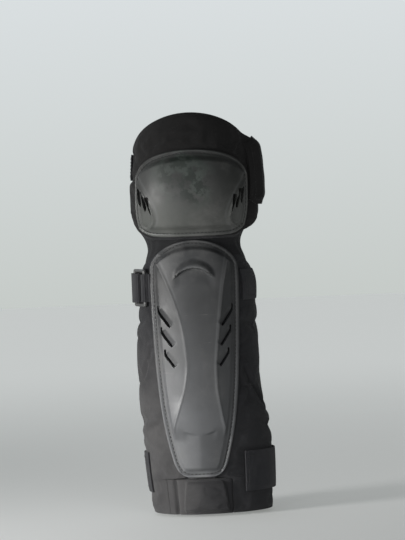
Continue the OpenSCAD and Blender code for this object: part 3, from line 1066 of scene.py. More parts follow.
@dataclass(frozen=True)
class SpacerMesh:
    """Knitted spacer mesh for a lining, with rows of small holes."""

    name: str
    colour: tuple[float, float, float] = (0.03, 0.03, 0.035)
    hole: float = 3.2

    def build(self) -> bpy.types.Material:
        """The material."""
        r = Recipe(self.name)
        cells = r.node("ShaderNodeTexVoronoi", feature="F1")
        cells.inputs["Scale"].default_value = 1 / (self.hole * MM)
        cells.inputs["Randomness"].default_value = 0.12
        r.put(cells.inputs["Vector"], r.uv())
        wall = r.remap(cells.outputs["Distance"], 0.22, 0.42)
        knit = r.waves(r.uv(), math.pi / (0.7 * MM) / 10, "Y", 1.0)
        base = (*self.colour, 1.0)
        colour = r.blend(wall, grey(0.005), base)
        colour = r.blend(r.maths("MULTIPLY", knit, 0.3), colour, tuple(c * 2 for c in self.colour) + (1.0,))
        normal = r.relief(wall, 0.8, 0.0008, r.relief(knit, 0.3, 0.0002))
        return r.done(colour, 0.9, normal, Sheen_Weight=0.2)


class TapeKind(Enum):
    """The two halves of a hook and loop closure."""

    HOOK = "hook"
    LOOP = "loop"


@dataclass(frozen=True)
class GripTape:
    """Hook tape, with rows of stiff hooks, or loop tape, with a soft pile."""

    name: str
    kind: TapeKind

    def build(self) -> bpy.types.Material:
        """The material."""
        r = Recipe(self.name)
        if self.kind is TapeKind.HOOK:
            rows = r.waves(r.uv(), math.pi / (1.5 * MM) / 10, "X")
            pegs = r.maths("MULTIPLY", rows, r.waves(r.uv(), math.pi / (1.1 * MM) / 10, "Y"))
            colour = r.blend(pegs, grey(0.006), grey(0.03))
            return r.done(colour, 0.45, r.relief(pegs, 0.9, 0.0012))
        pile = r.noise(r.place(), 1600, 4, 0.75)
        colour = r.blend(r.remap(pile, 0.35, 0.7), grey(0.008), grey(0.032))
        return r.done(colour, 0.95, r.relief(pile, 0.9, 0.001), Sheen_Weight=0.4)


@dataclass(frozen=True)
class CellFoam:
    """Closed-cell foam."""

    name: str

    def build(self) -> bpy.types.Material:
        """The material."""
        r = Recipe(self.name)
        cells = r.node("ShaderNodeTexVoronoi", feature="F1")
        cells.inputs["Scale"].default_value = 900
        r.put(cells.inputs["Vector"], r.place())
        colour = r.blend(r.remap(cells.outputs["Distance"], 0.1, 0.7), grey(0.05), grey(0.028))
        return r.done(colour, 0.92, r.relief(cells.outputs["Distance"], 0.6, 0.0006))


@dataclass(frozen=True)
class SpunThread:
    """Bonded sewing thread, twisted."""

    name: str
    colour: float = 0.007

    def build(self) -> bpy.types.Material:
        """The material."""
        r = Recipe(self.name)
        twist = r.waves(r.place((1, 1, 1), 35), 260, "Z", 0.4)
        colour = r.blend(twist, grey(self.colour), grey(self.colour * 2.6))
        return r.done(colour, 0.7, r.relief(twist, 0.4, 0.0002))


@dataclass(frozen=True)
class PaleFloor:
    """A pale studio floor, with painted shade towards the camera."""

    name: str = "pale_floor"
    colour: float = 0.80
    glow: float = 0.36

    def build(self) -> bpy.types.Material:
        """The material, darker towards the camera as painted shade, with a faint glow of its own that hides
        its far edge and lights the guard from below.
        """
        r = Recipe(self.name)
        split = r.node("ShaderNodeSeparateXYZ")
        r.put(split.inputs["Vector"], r.place())
        far = r.remap(split.outputs["Y"], -0.9, 3.0)
        tone = r.remap(r.noise(r.place(), 3, 3), 0.3, 0.7)
        colour = r.blend(tone, grey(self.colour * 0.985, -0.01), grey(self.colour, -0.01))
        # Painted shade: the floor's colour darkens towards the camera.
        colour = r.blend(far, grey(self.colour * 0.62, -0.01), colour)
        glow = r.blend(far, (0.48, 0.495, 0.468, 1), (0.97, 1.0, 0.965, 1))
        return r.done(colour, 0.9, None, Emission_Color=glow, Emission_Strength=self.glow)


class Finishes:
    """Every material of the guard, made once."""

    def __init__(self) -> None:
        """Builds them."""
        knee_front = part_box("knee_shell")
        centre = (knee_front[0] + knee_front[1]) / 2
        scar = (centre.x - 0.014, knee_front[0].y + 0.004, centre.z + 0.026)
        second = (centre.x + 0.004, knee_front[0].y + 0.002, centre.z + 0.008)
        # The fade values paint light onto the cup and the plate: paler towards the bottom and the left.
        self.cup = MouldedPlastic("cup_plastic", 0.016, tint=(0.99, 1.03, 0.95), fade=(0.085, 0.02, 4.4),
                                  clouds=((scar, 0.040), (second, 0.028))).build()
        self.plate = MouldedPlastic("plate_plastic", 0.019, tint=(0.98, 1.0, 1.05),
                                    fade=(-0.06, -0.25, 4.6)).build()
        self.ring = MouldedPlastic("ring_plastic", 0.030, 0.09, 0.42, 0.6).build()
        self.cover = WovenCloth("cover_cloth", (0.0062, 0.0056, 0.0056)).build()
        # Wing cloth: dust low down, with painted light on its lit left side.
        self.wing = WovenCloth("wing_cloth", (0.012, 0.012, 0.014), dust_and_light_below=-0.06).build()
        self.neck = WovenCloth("neck_cloth", (0.009, 0.009, 0.010), thread=1.1).build()
        self.binding = RibbedElastic("binding_tape", (0.008, 0.008, 0.009), 1.0).build()
        self.elastic = RibbedElastic("elastic", (0.010, 0.010, 0.012)).build()
        self.lining = SpacerMesh("lining_mesh").build()
        self.foam = CellFoam("cell_foam").build()
        self.thread = SpunThread("thread").build()
        self.hook = GripTape("hook_tape", TapeKind.HOOK).build()
        self.loop = GripTape("loop_tape", TapeKind.LOOP).build()


# ---------------------------------------------------------------- building blocks


def dress(obj: bpy.types.Object, finish: bpy.types.Material) -> bpy.types.Object:
    """Gives a piece one material."""
    obj.data.materials.clear()
    obj.data.materials.append(finish)
    return obj


def ripples(u: Array, v: Array, seed: int, count: int = 5) -> Array:
    """Soft unevenness from -1 to 1, the same on every run.

    Args:
        u: One coordinate.
        v: The other.
        seed: Which pattern.
        count: How many waves.

    Returns:
        The unevenness.
    """
    draw = np.random.default_rng(seed)
    total = np.zeros(np.broadcast(u, v).shape)
    for _ in range(count):
        fu, fv = draw.uniform(0.6, 3.4, 2)
        total = total + np.sin(2 * np.pi * (fu * u + fv * v) + draw.uniform(0, 6.3))
    return total / count


@dataclass(frozen=True)
class Crease:
    """A fold in cloth: a line of angle and height pairs, its depth and its width."""

    line: tuple[tuple[float, float], ...]
    depth: float
    width: float = 4.0

    def at(self, angle: Array, z: Array, around: float = 1.25) -> Array:
        """How far the cloth sinks at a place, with around millimetres to a degree.

        Args:
            angle: Angles, in degrees.
            z: Heights.
            around: Millimetres to a degree.

        Returns:
            Depths in millimetres.
        """
        near = np.full(np.broadcast(angle, z).shape, 1e6)
        for (a0, z0), (a1, z1) in zip(self.line[:-1], self.line[1:]):
            run = np.array([(a1 - a0) * around, z1 - z0])
            long = float(run @ run)
            t = np.clip((((angle - a0) * around) * run[0] + (z - z0) * run[1]) / long, 0, 1)
            gap = np.hypot((angle - a0) * around - t * run[0], z - z0 - t * run[1])
            near = np.minimum(near, gap + 3.0 * bump(t, 0.12) + 3.0 * bump(t - 1, 0.12))
        return self.depth * (bump(near, self.width) - 0.55 * bump(near - 1.9 * self.width, self.width))


@dataclass
class SwollenPad:
    """A closed pad that swells over its foam, on a grid of angles and heights."""

    name: str
    form: LegForm
    place: Place
    off: Shape
    freedom: Shape
    cols: int
    rows: int
    cap: float
    edge: float
    grow: float = 0.03
    smooth: bool = True

    def build(self, finish: bpy.types.Material) -> bpy.types.Object:
        """The pad, with a smooth back if asked, swollen and with rounded edges.

        Args:
            finish: Its cloth.

        Returns:
            The pad.
        """
        def shape(u: Array, v: Array) -> Array:
            """Points of the outer face."""
            angle, z = self.place(u, v)
            return self.form.point(angle, z, self.off(angle, z))

        obj = patch(self.name, self.cols, self.rows, shape)
        count = len(obj.data.vertices)
        u, v = np.meshgrid(np.linspace(0, 1, self.cols + 1), np.linspace(0, 1, self.rows + 1))
        angle, z = self.place(u.ravel(), v.ravel())
        thicken(obj, P.pad)
        if self.smooth:
            back = np.clip(self.off(angle, z), 0, PAD_EASE) - P.pad + 0.1
            smooth_back(obj, count, self.form.point(angle, z, back))
        free = np.zeros(len(obj.data.vertices))
        free[:count] = self.freedom(angle, z)
        swell(obj, PAD_PRESSURE, self.cap, free, self.grow)
        rounded(obj, self.edge, 3, 50)
        return dress(shade(obj, 50), finish)


@dataclass
class Wrap:
    """A pad or panel wrapped round the leg between two angles and two edge heights."""

    name: str
    form: LegForm
    start: float
    end: float
    low: Callable[[Array], Array]
    high: Callable[[Array], Array]
    off: Callable[[Array, Array], Array] | float
    thickness: float
    cols: int
    rows: int
    round_by: float = 0.0

    def shape(self, u: Array, v: Array) -> Array:
        """Points of the outer face."""
        angle = self.start + (self.end - self.start) * u
        low, high = self.low(angle), self.high(angle)
        z = low + (high - low) * v
        off = self.off(angle, z) if callable(self.off) else self.off
        return self.form.point(angle, z, off)

    def build(self) -> bpy.types.Object:
        """The closed piece."""
        obj = patch(self.name, self.cols, self.rows, self.shape)
        thicken(obj, self.thickness, self.round_by)
        return shade(obj, 45)


def strap(name: str, form: LegForm, angles: Sequence[float], z: float, width: float,
          off: Callable[[Array], Array], thickness: float, cols: int) -> bpy.types.Object:
    """Webbing round the leg at a level height.

    Args:
        name: The new object's name.
        form: The form it lies on.
        angles: Its first and last angles.
        z: The height of its middle.
        width: Its width.
        off: How far its outer face stands off the form, at an angle.
        thickness: Its thickness.
        cols: Faces along it.

    Returns:
        The closed piece, with rounded selvedges.
    """
    def shape(u: Array, v: Array) -> Array:
        """Points of the outer face."""
        angle = angles[0] + (angles[1] - angles[0]) * u
        edge = np.abs(v - 0.5) * 2
        return form.point(angle, z + (v - 0.5) * width, off(angle) - 0.35 * edge**8)

    obj = patch(name, cols, 12, shape)
    thicken(obj, thickness, 0.5)
    return shade(obj, 45)


def loop_of(name: str, path: Array, z: float, width: float, thickness: float) -> bpy.types.Object:
    """A strip of webbing that follows a level path, with its inner face on the path.

    Args:
        name: The new object's name.
        path: Points on the path, as x and y in millimetres.
        z: The height of its middle.
        width: Its width.
        thickness: Its thickness.

    Returns:
        The closed piece.
    """
    steps = np.linalg.norm(np.diff(path, axis=0), axis=1)
    along = np.concatenate([[0], np.cumsum(steps)]) / steps.sum()

    def shape(u: Array, v: Array) -> Array:
        """Points of the inner face."""
        x, y = np.interp(u, along, path[:, 0]), np.interp(u, along, path[:, 1])
        return np.stack([x, y, z + (v - 0.5) * width], axis=-1)

    obj = patch(name, max(20, len(path) * 2), 10, shape)
    applied(obj, "SOLIDIFY", thickness=thickness * MM, offset=1, use_even_offset=True)
    rounded(obj, 0.45, 2, 60)
    return shade(obj, 45)


def box_stitches(name: str, form: LegForm, angles: Sequence[float], heights: Sequence[float],
                 off: float, thread: bpy.types.Material) -> bpy.types.Object:
    """A stitched rectangle on a strap.

    Args:
        name: The new object's name.
        form: The form it lies on.
        angles: Its first and last angles.
        heights: Its lowest and highest heights.
        off: How far the strap's face stands off the form.
        thread: Its material.

    Returns:
        The stitches.
    """
    (a0, a1), (z0, z1) = angles, heights
    sides = [((a0, z0), (a1, z0)), ((a1, z0), (a1, z1)), ((a1, z1), (a0, z1)), ((a0, z1), (a0, z0))]
    stitcher = Stitcher(length=2.6, space=1.2, width=0.8)
    rows = []
    for index, ((b0, y0), (b1, y1)) in enumerate(sides):
        t = np.linspace(0, 1, 24)
        line, normals = surface_line(form, b0 + (b1 - b0) * t, y0 + (y1 - y0) * t, off)
        rows.append(stitcher.sew(f"{name}_{index}", line, normals))
    return dress(joined(name, rows), thread)


# ---------------------------------------------------------------- the hard shells


@dataclass
class HardShell:
    """A moulded shell with vent slots and a row of stitches in its rim groove."""

    body: Body
    node: str
    shape: KneeCup | ShinPlate
    form: LegForm
    cols: int
    rows: int
    slot: float = 3.0
    stitch: Stitcher = field(default_factory=lambda: Stitcher(3.4, 1.6, 1.15, 0.1))

    def point(self, s: Array, v: Array, off: float, inset: float = 0.0) -> Array:
        """Points on the shell."""
        return self.shape.point(s, v, off, inset)

    def outer(self, u: Array, v: Array) -> Array:
        """Points of the outer face, closer together near the rim."""
        s = np.sin((u - 0.5) * np.pi) * 0.35 + (2 * u - 1) * 0.65
        return self.point(s, v, P.shell + P.gap)

    def cutter(self, vent: Vent, side: Side, index: int) -> bpy.types.Object:
        """A closed cutter for one slot: its slanted run and the short hook at its upper end.

        Args:
            vent: The slot.
            side: The side it lies on.
            index: Its number.

        Returns:
            The cutter.
        """
        corner, end = np.array(vent.corner, float), np.array(vent.end, float)
        tip = corner + np.array([0.0, vent.hook])
        half = self.slot / 2
        run = (end - corner) / np.linalg.norm(end - corner)
        across = np.array([-run[1], run[0]])
        if across[0] > 0:
            across = -across
        outline = [
            tip + [half * 0.8, half], tip + [-half * 0.9, half],
            corner + [-half * 0.9, 0] + across * half * 0.3, end + across * half * 0.9 - run * half,
            end + across * half * 0.4 + run * half, end - across * half * 0.5 + run * half,
            end - across * half * 0.9 - run * half, corner + [half * 0.8, -half * 0.4],
        ]
        bpy.ops.object.select_all(action="DESELECT")
        bpy.ops.mesh.primitive_circle_add(vertices=len(outline), radius=1, fill_type="NGON")
        obj = bpy.context.object
        obj.name = f"cut_{self.node}_{side.name}_{index}"
        flat = np.array([[side.value * x, z] for x, z in outline])
        z = flat[:, 1]
        face = self.form.point(self.form.angle(flat[:, 0], z), z, 0.0)
        out = np.array(self.form.normal(float(self.form.angle(side.value * corner[0], corner[1])),
                                        float(corner[1])))
        out = out * [0.75, 1, 0.2]
        out /= np.linalg.norm(out)
        move_to(obj, face - out * 3)
        bpy.ops.object.mode_set(mode="EDIT")
        bpy.ops.mesh.select_all(action="SELECT")
        bpy.ops.mesh.extrude_region_move(TRANSFORM_OT_translate={"value": tuple(out * 24 * MM)})
        bpy.ops.mesh.select_all(action="SELECT")
        bpy.ops.mesh.normals_make_consistent(inside=False)
        bpy.ops.object.mode_set(mode="OBJECT")
        rounded(obj, 0.5, 2, 30)
        return obj

    def build(self, name: str, finish: bpy.types.Material) -> bpy.types.Object:
        """The shell, with slots cut, and wear, painted highlights and painted groove shade laid on as
        attributes.

        Args:
            name: The piece's name.
            finish: Its material.

        Returns:
            The shell.
        """
        obj = patch(name, self.cols, self.rows, self.outer)
        applied(obj, "SOLIDIFY", thickness=P.shell * MM, offset=-1, use_even_offset=False)
        rounded(obj, 0.7, 2, 60)
        for index, vent in enumerate(self.shape.vents):
            for side in Side:
                cut = self.cutter(vent, side, index)
                applied(obj, "BOOLEAN", operation="DIFFERENCE", object=cut, solver="MANIFOLD")
                bpy.data.objects.remove(cut)
        wear, rim = self.wear_and_highlight_on(coordinates(obj))
        paint(obj, "wear", wear)
        # painted shade along the rim groove
        paint(obj, "groove_shade", bump(rim - 4.2, 1.0))
        shade(obj, 35)
        return dress(obj, finish)

    def wear_and_highlight_on(self, points: Array) -> tuple[Array, Array]:
        """How worn the shell is painted at each point, with painted highlights, and its distance from the
        rim.

        Args:
            points: Points in millimetres.

        Returns:
            The wear and painted highlight, and the distances.
        """
        x, z = points[:, 0], points[:, 2]
        if isinstance(self.shape, KneeCup):
            s = np.clip(self.form.angle(x, z) / self.shape.span, -1, 1)
            return self.shape.wear(s, z), self.shape.rim(s, z)
        half = self.shape.half_at(z)
        s = np.clip(x / half, -1, 1)
        ends = np.minimum(z - self.shape.low_at(s), (self.shape.top_at(s) - z) * self.shape.cap(s)[1])
        rim = np.minimum(half - np.abs(x), ends)
        return self.shape.wear(x, z, rim), rim

    def stitches(self, name: str, thread: bpy.types.Material, inset: float = 4.1) -> bpy.types.Object:
        """The row of stitches lying in the rim groove.

        Args:
            name: The new object's name.
            thread: The stitches' material.
            inset: Distance in from the rim.

        Returns:
            The stitches.
        """
        t = np.linspace(0, 1, 120)
        ahead = np.sin((t - 0.5) * np.pi)
        s = np.concatenate([-t * 0.999, -np.ones(120), ahead, np.ones(120), (1 - t) * 0.999])
        v = np.concatenate([np.zeros(120), t, np.ones(120), 1 - t, np.zeros(120)])
        line = self.point(s, v, P.shell + P.gap, inset)
        keep = np.concatenate([[True], np.linalg.norm(np.diff(line, axis=0), axis=1) > 0.02])
        line = line[keep]
        normals = self.point(s, v, P.shell + P.gap + 1, inset)[keep] - line
        normals /= np.linalg.norm(normals, axis=1, keepdims=True)
        return dress(self.stitch.sew(name, line, normals), thread)


def cut_size(shape: Shape) -> tuple[float, float]:
    """Width and length that a sheet was cut to, in metres, measured along its middles."""
    t = np.linspace(0, 1, 80)
    spans = []
    for u, v in ((t, np.full(80, 0.5)), (np.full(80, 0.5), t)):
        spans.append(float(np.linalg.norm(np.diff(shape(u, v), axis=0), axis=1).sum() * MM))
    return spans[0], spans[1]


def sheet_cut(obj: bpy.types.Object, shape: Shape) -> tuple[tuple[float, float], float]:
    """A sheet's flat size and its flat area, with the size no smaller than the area needs."""
    width, length = cut_size(shape)
    area = flat_area(obj) / 2
    grow = max(1.0, area / (width * length))
    return (width * math.sqrt(grow), length * math.sqrt(grow)), area / 1.001


@dataclass
class KneeSection:
    """The padded knee section: cup, cover, foam, lining and bound lower edge."""

    edge: float = 115.0
    cup_edge: float = 64.0
    hood_crease: Crease = Crease(((-44, 126), (-24, 137), (8, 135)), 1.7, 4.5)
    side_crease: Crease = Crease(((-70, 92), (-84, 84), (-108, 88)), 1.5, 5.0)
    low_crease: Crease = Crease(((-69, 20), (-84, 33), (-104, 36)), 1.2, 4.0)

    def past_cup(self, angle: Array, z: Array) -> Array:
        """Distance outside the cup's edge, in millimetres.

        Args:
            angle: Angles, in degrees.
            z: Heights.

        Returns:
            Distances, negative under the cup.
        """
        s = np.clip(angle / self.cup_edge, -1, 1)
        side = (np.abs(angle) - self.cup_edge) * 1.25
        over = np.maximum(z - CUP.top_at(s), CUP.low_at(s) - z)
        outside = np.hypot(np.maximum(side, 0), np.maximum(over, 0))
        return np.where(outside > 0, outside, np.maximum(side, over))

    def off(self, angle: Array, z: Array) -> Array:
        """The cover's outer face: soft, creased, with two rows of piping beside the cup.

        Args:
            angle: Angles, in degrees.
            z: Heights.

        Returns:
            Distances outside the form.
        """
        gap = self.past_cup(angle, z)
        free = ramp(0.5, 7, gap)
        rows = sum(bump(gap - d, 1.1) for d in (5.0, 10.5)) * ramp(60, 30, z) * ramp(40, 66, np.abs(angle))
        soft = 1.0 * ripples(angle / 200, z / 150, 7) * free
        folds = self.hood_crease.at(angle, z) + self.side_crease.at(angle, z) + self.low_crease.at(angle, z)
        pressed = 1.6 * ramp(-80, -84, angle) * ramp(80, 85, z) * ramp(122, 117, z)
        return (0.8 + soft - folds) * free + 0.9 * rows + self.fullness(angle, z) - pressed

    @staticmethod
    def fullness(angle: Array, z: Array) -> Array:
        """How much further the padding stands out on the right, behind the cup."""
        return 9.5 * ramp(64.5, 78, angle) * ramp(113, 100, angle) * ramp(147, 128, z) * ramp(2, 30, z)

    def freedom(self, angle: Array, z: Array) -> Array:
        """Where the cover may swell: outside the cup, in from its edges and off the strap flap.

        Args:
            angle: Angles, in degrees.
            z: Heights.

        Returns:
            Shares from 0, held, to 1, free.
        """
        edge = np.minimum(self.edge - np.abs(angle), 40) * 1.2
        ends = np.minimum(z - P.knee_low(angle), P.knee_top(angle) - z)
        clear = ramp(2, 12, self.past_cup(angle, z))
        flap = 1 - ramp(58, 66, angle) * ramp(38, 50, z)
        tape = 1 - ramp(-82, -86, angle) * ramp(78, 84, z)
        return clear * ramp(0, 9, edge) * ramp(0, 9, ends) * flap * tape

    def place(self, u: Array, v: Array) -> tuple[Array, Array]:
        """Angle and height on the cover."""
        angle = -self.edge + 2 * self.edge * u
        low, high = P.knee_low(angle), P.knee_top(angle)
        return angle, low + (high - low) * v

    def cover(self, finish: bpy.types.Material) -> bpy.types.Object:
        """The closed cover, swollen over its foam."""
        pad = SwollenPad("knee_cover_pad", KNEE, self.place, self.off, self.freedom, 96, 46, 3.2, 2.6)
        return pad.build(finish)

    def build(self, finishes: Finishes) -> list[bpy.types.Object]:
        """Every piece of the section, riding.

        Args:
            finishes: The guard's materials.

        Returns:
            The pieces.
        """
        shell = HardShell(Body.KNEE, "knee_shell", CUP, KNEE, 150, 96, 5.2)
        cup = shell.build("knee_cup", finishes.cup)
        seam = shell.stitches("knee_cup_stitches", finishes.thread)
        cover = self.cover(finishes.cover)
        foam_low = Wrap("knee_foam_pad", KNEE, -self.edge + 3, self.edge - 3,
                        lambda a: P.knee_low(a) + 3, lambda a: 0.72 * P.knee_top(a) - 1, -1.9, 7.4,
                        48, 20, 2.0).build()
        foam_top = Wrap("hood_foam_pad", KNEE, -self.edge + 3, self.edge - 3,
                        lambda a: 0.72 * P.knee_top(a) + 1, lambda a: P.knee_top(a) - 4, -1.9, 7.4,
                        48, 12, 2.0).build()
        inner = Wrap("knee_lining_sheet", KNEE, -self.edge + 0.5, self.edge - 0.5,
                     lambda a: P.knee_low(a) + 0.6, lambda a: P.knee_top(a) - 0.6,
                     lambda a, z: P.inside - 0.1 + 0.25 * ripples(a / 150, z / 90, 3), 1.0, 72, 36)
        lining = inner.build()
        tape = Wrap("knee_edge_binding", KNEE, -self.edge, self.edge, lambda a: P.knee_low(a) - 2.9,
                    lambda a: P.knee_low(a) + 1.2,
                    lambda a, z: 0.55 + 0 * a, P.binding, 110, 3, 1.4).build()
        loop = strap("knee_loop_tape", KNEE, (-112, -84), 99, 34, lambda a: -0.4 + 0 * a, 0.9, 30)
        dress(foam_low, finishes.foam), dress(foam_top, finishes.foam)
        dress(lining, finishes.lining), dress(tape, finishes.binding), dress(loop, finishes.loop)
        pieces = [(cup, "knee_shell", "shell_plastic"), (seam, "knee_shell_seam", "thread"),
                  (cover, "knee_cover", "cover_cloth"), (foam_low, "knee_foam", "foam"),
                  (foam_top, "hood_pad", "foam"), (lining, "knee_lining", "lining_cloth"),
                  (tape, "knee_binding", "binding_tape"), (loop, "knee_loop_patch", "loop_tape")]
        flat, area = sheet_cut(lining, inner.shape)
        return fit(pieces, Body.KNEE)


def fit(pieces: Sequence[tuple[bpy.types.Object, str, str]], body: Body) -> list[bpy.types.Object]:
    """Lets pieces ride on a body and hides the CAD nodes that they stand for.

    Args:
        pieces: Each piece with its CAD node and its slot.
        body: The body they ride on.

    Returns:
        The pieces.
    """
    made = []
    for obj, node, slot in pieces:
        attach(obj, body.value)
        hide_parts(node)
        made.append(obj)
    return made


@dataclass
class NeckCloth:
    """The stretch cloth that bridges the two sections behind the shells."""

    reach: float = 84.0
    low: float = -36.0
    high: float = 26.0
    thickness: float = 1.6

    def shape(self, u: Array, v: Array) -> Array:
        """Points of its outer face, ribbed and loosely gathered in the middle.

        Args:
            u: Across, 0 to 1.
            v: Up, 0 to 1.

        Returns:
            Points in millimetres.
        """
        angle = -self.reach + 2 * self.reach * u
        z = self.low + (self.high - self.low) * v
        share = ramp(-20, 14, z)[..., None]
        folds = 0.9 * np.sin((z + 0.02 * angle**2) / 5.2) * bump(z + 3, 15)
        off = -1.6 - 0.9 * bump(z + 4, 14) + 0.6 * folds
        lower, upper = SHIN.point(angle, z, off), KNEE.point(angle, np.maximum(z, -9), off)
        upper = np.stack([upper[..., 0], upper[..., 1], np.broadcast_to(z, upper[..., 0].shape)], -1)
        return lower * (1 - share) + upper * share

    def build(self, finishes: Finishes) -> list[bpy.types.Object]:
        """The cloth, bending between the shin and the knee section.

        Args:
            finishes: The guard's materials.

        Returns:
            The cloth, in a list.
        """
        obj = patch("neck_cloth", 64, 44, self.shape)
        thicken(obj, self.thickness, 0.4)
        dress(shade(obj, 45), finishes.neck)
        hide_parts("neck_panel")
        flat, area = sheet_cut(obj, self.shape)
        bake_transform(obj)
        return [obj]


@dataclass
class ShinSection:
    """The padded shin section: plate, front cloth, wings, foam, lining and bound edges."""

    edge: float = 115.0
    hem: float = -P.shin_h
    creases: dict[Side, tuple[Crease, ...]] = field(default_factory=lambda: {
        Side.LEFT: (Crease(((-47, -128), (-56, -150), (-63, -172)), 2.6, 3.2),
                    Crease(((-60, -96), (-80, -104), (-104, -100)), 0.7, 7.0),
                    Crease(((-50, -204), (-66, -226), (-92, -234)), 0.7, 7.0)),
        Side.RIGHT: (Crease(((47, -160), (57, -184), (78, -214)), 2.8, 4.0),
                     Crease(((52, -226), (74, -242), (100, -246)), 0.8, 7.0),
                     Crease(((54, -104), (74, -112), (98, -106)), 0.8, 7.0)),
    })

    def inner_angle(self, side: Side, z: Array) -> Array:
        """Angle of a wing's border with the front panel, and lower down with the ankle pad."""
        pad = P.pad_left if side is Side.LEFT else P.pad_right
        down = ramp(P.pad_top + 3, P.pad_top - 1, z)
        return seam_angle(side, z) * (1 - down) + pad * down

    def wing_place(self, side: Side, u: Array, v: Array) -> tuple[Array, Array]:
        """Angle and height on a wing, with its lower outer corner rounded.

        Args:
            side: The side it lies on.
            u: Across, 0 to 1.
            v: Up, 0 to 1.

        Returns:
            Angles and heights.
        """
        top = -17 - 26 * ramp(50, self.edge, 50 + 65 * u)
        guess = self.hem + (top - self.hem) * v
        start = self.inner_angle(side, guess)
        angle = start + (side.value * self.edge - start) * u
        top = P.shin_top(angle)
        low = self.hem + 13 * ramp(0.80, 1.0, u) ** 2
        return angle, low + (top - low) * v

    def wing_off(self, side: Side, angle: Array, z: Array) -> Array:
        """How far a wing's outer face stands off the form."""
        free = ramp(0, 10, (np.abs(angle) - np.abs(self.inner_angle(side, z))) * 1.2)
        soft = 1.1 * ripples(angle / 170, z / 260, 11 + side.value, 7)
        folds = sum(crease.at(angle, z) for crease in self.creases[side])
        return free * (soft + 0.6) - folds * ramp(0, 6, np.abs(angle) - 40)

    def wing_freedom(self, side: Side, angle: Array, z: Array) -> Array:
        """Where a wing may swell: away from its borders and from what is sewn over it.

        Args:
            side: The side it lies on.
            angle: Angles, in degrees.
            z: Heights.

        Returns:
            Shares from 0, held, to 1, free.
        """
        in_side = (np.abs(angle) - np.abs(self.inner_angle(side, z))) * 1.2
        out_side = (self.edge - np.abs(angle)) * 1.2
        ends = np.minimum(z - self.hem, P.shin_top(angle) - z)
        free = ramp(2, 12, in_side) * ramp(0, 10, out_side) * ramp(0, 10, ends)
        calf = bump(np.maximum(np.abs(z + 56) - 22, 0), 5)
        ankle = bump(np.maximum(np.abs(z - ankle_height()) - 28, 0), 5)
        if side is Side.LEFT:
            return free * (1 - calf * ramp(-48, -54, angle)) * (1 - ankle * ramp(-64, -70, angle))
        return free * (1 - calf * ramp(46, 52, angle)) * (1 - ankle * ramp(30, 36, angle))

    def wing(self, side: Side, finish: bpy.types.Material) -> bpy.types.Object:
        """One padded wing, swollen over its foam."""
        def place(u: Array, v: Array) -> tuple[Array, Array]:
            """Angle and height on the wing, from the guard's left to its right."""
            return self.wing_place(side, u if side is Side.RIGHT else 1 - u, v)

        pad = SwollenPad(f"shin_wing_{side.name.lower()}_pad", SHIN, place,
                         lambda angle, z: self.wing_off(side, angle, z),
                         lambda angle, z: self.wing_freedom(side, angle, z), 44, 104, 3.0, 2.4)
        return pad.build(finish)

    def panel_shape(self, off: float, reach: float = 0.0) -> Shape:
        """The front cloth, or the foam under it, between the two wings' seams.

        Args:
            off: Distance outside the form.
            reach: How much further it goes to each side, in degrees.

        Returns:
            Its surface.
        """
        def shape(u: Array, v: Array) -> Array:
            """Points of its outer face."""
            z = P.pad_top + 1 + (-17 - P.pad_top - 1) * v
            left, right = seam_angle(Side.LEFT, z) + 1 - reach, seam_angle(Side.RIGHT, z) - 1 + reach
            return SHIN.point(left + (right - left) * u, z, off)
        return shape

    def edging(self, side: Side, finish: bpy.types.Material) -> bpy.types.Object:
        """The bound back edge of a wing.

        Args:
            side: The side it lies on.
            finish: The piece's material.

        Returns:
            The binding.
        """
        start = side.value * (self.edge - 1.2)
        end = side.value * (self.edge + 3.2)
        first, last = (start, end) if side is Side.RIGHT else (end, start)
        wrap = Wrap(f"wing_binding_{side.name.lower()}_tape", SHIN, first, last,
                    lambda a: self.hem + 12 + 0 * a, lambda a: P.shin_top(a) - 1,
                    lambda a, z: 0.6 + 0 * a, P.binding, 3, 110, 1.4)
        return dress(wrap.build(), finish)

    def build(self, finishes: Finishes) -> list[bpy.types.Object]:
        """Every piece of the section, riding.

        Args:
            finishes: The guard's materials.

        Returns:
            The pieces.
        """
        shell = HardShell(Body.SHIN, "shin_shell", PLATE, SHIN, 120, 250)
        plate = shell.build("shin_plate", finishes.plate)
        seam = shell.stitches("shin_plate_stitches", finishes.thread)
        panel = dress(shade(thicken(patch("shin_front_cloth", 48, 90, self.panel_shape(-0.1)), 1.0), 45),
                      finishes.wing)
        foam = dress(shade(thicken(patch("shin_foam_pad", 30, 60, self.panel_shape(-1.9)), 7.4, 1.5), 45),
                     finishes.foam)
        inner = Wrap("shin_lining_sheet", SHIN, -self.edge + 0.5, self.edge - 0.5,
                     lambda a: self.hem + 0.8 + 0 * a, lambda a: P.shin_top(a) - 0.6,
                     lambda a, z: P.inside - 0.1 + 0.25 * ripples(a / 150, z / 120, 5), 1.0, 76, 90)
        lining = dress(inner.build(), finishes.lining)
        pieces = [(plate, "shin_shell", "shell_plastic"), (seam, "shin_shell_seam", "thread"),
                  (panel, "shin_panel", "cover_cloth"), (foam, "shin_foam", "foam"),
                  (lining, "shin_lining", "lining_cloth")]
        for side in Side:
            name = side.name.lower()
            wing = self.wing(side, finishes.wing)
            pieces.append((wing, f"shin_wing_{name}", "cover_cloth"))
            pieces.append((self.edging(side, finishes.binding), f"wing_binding_{name}", "binding_tape"))
        for cloth, shape, under in ((panel, self.panel_shape(-0.1), "shin_foam_pad"),
                                    (lining, inner.shape, "shin_foam_pad")):
            flat, area = sheet_cut(cloth, shape)
        return fit(pieces, Body.SHIN)


def ankle_height() -> float:
    """Height of the ankle strap's middle."""
    low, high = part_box("ankle_strap")
    return (low.z + high.z) / 2 / MM


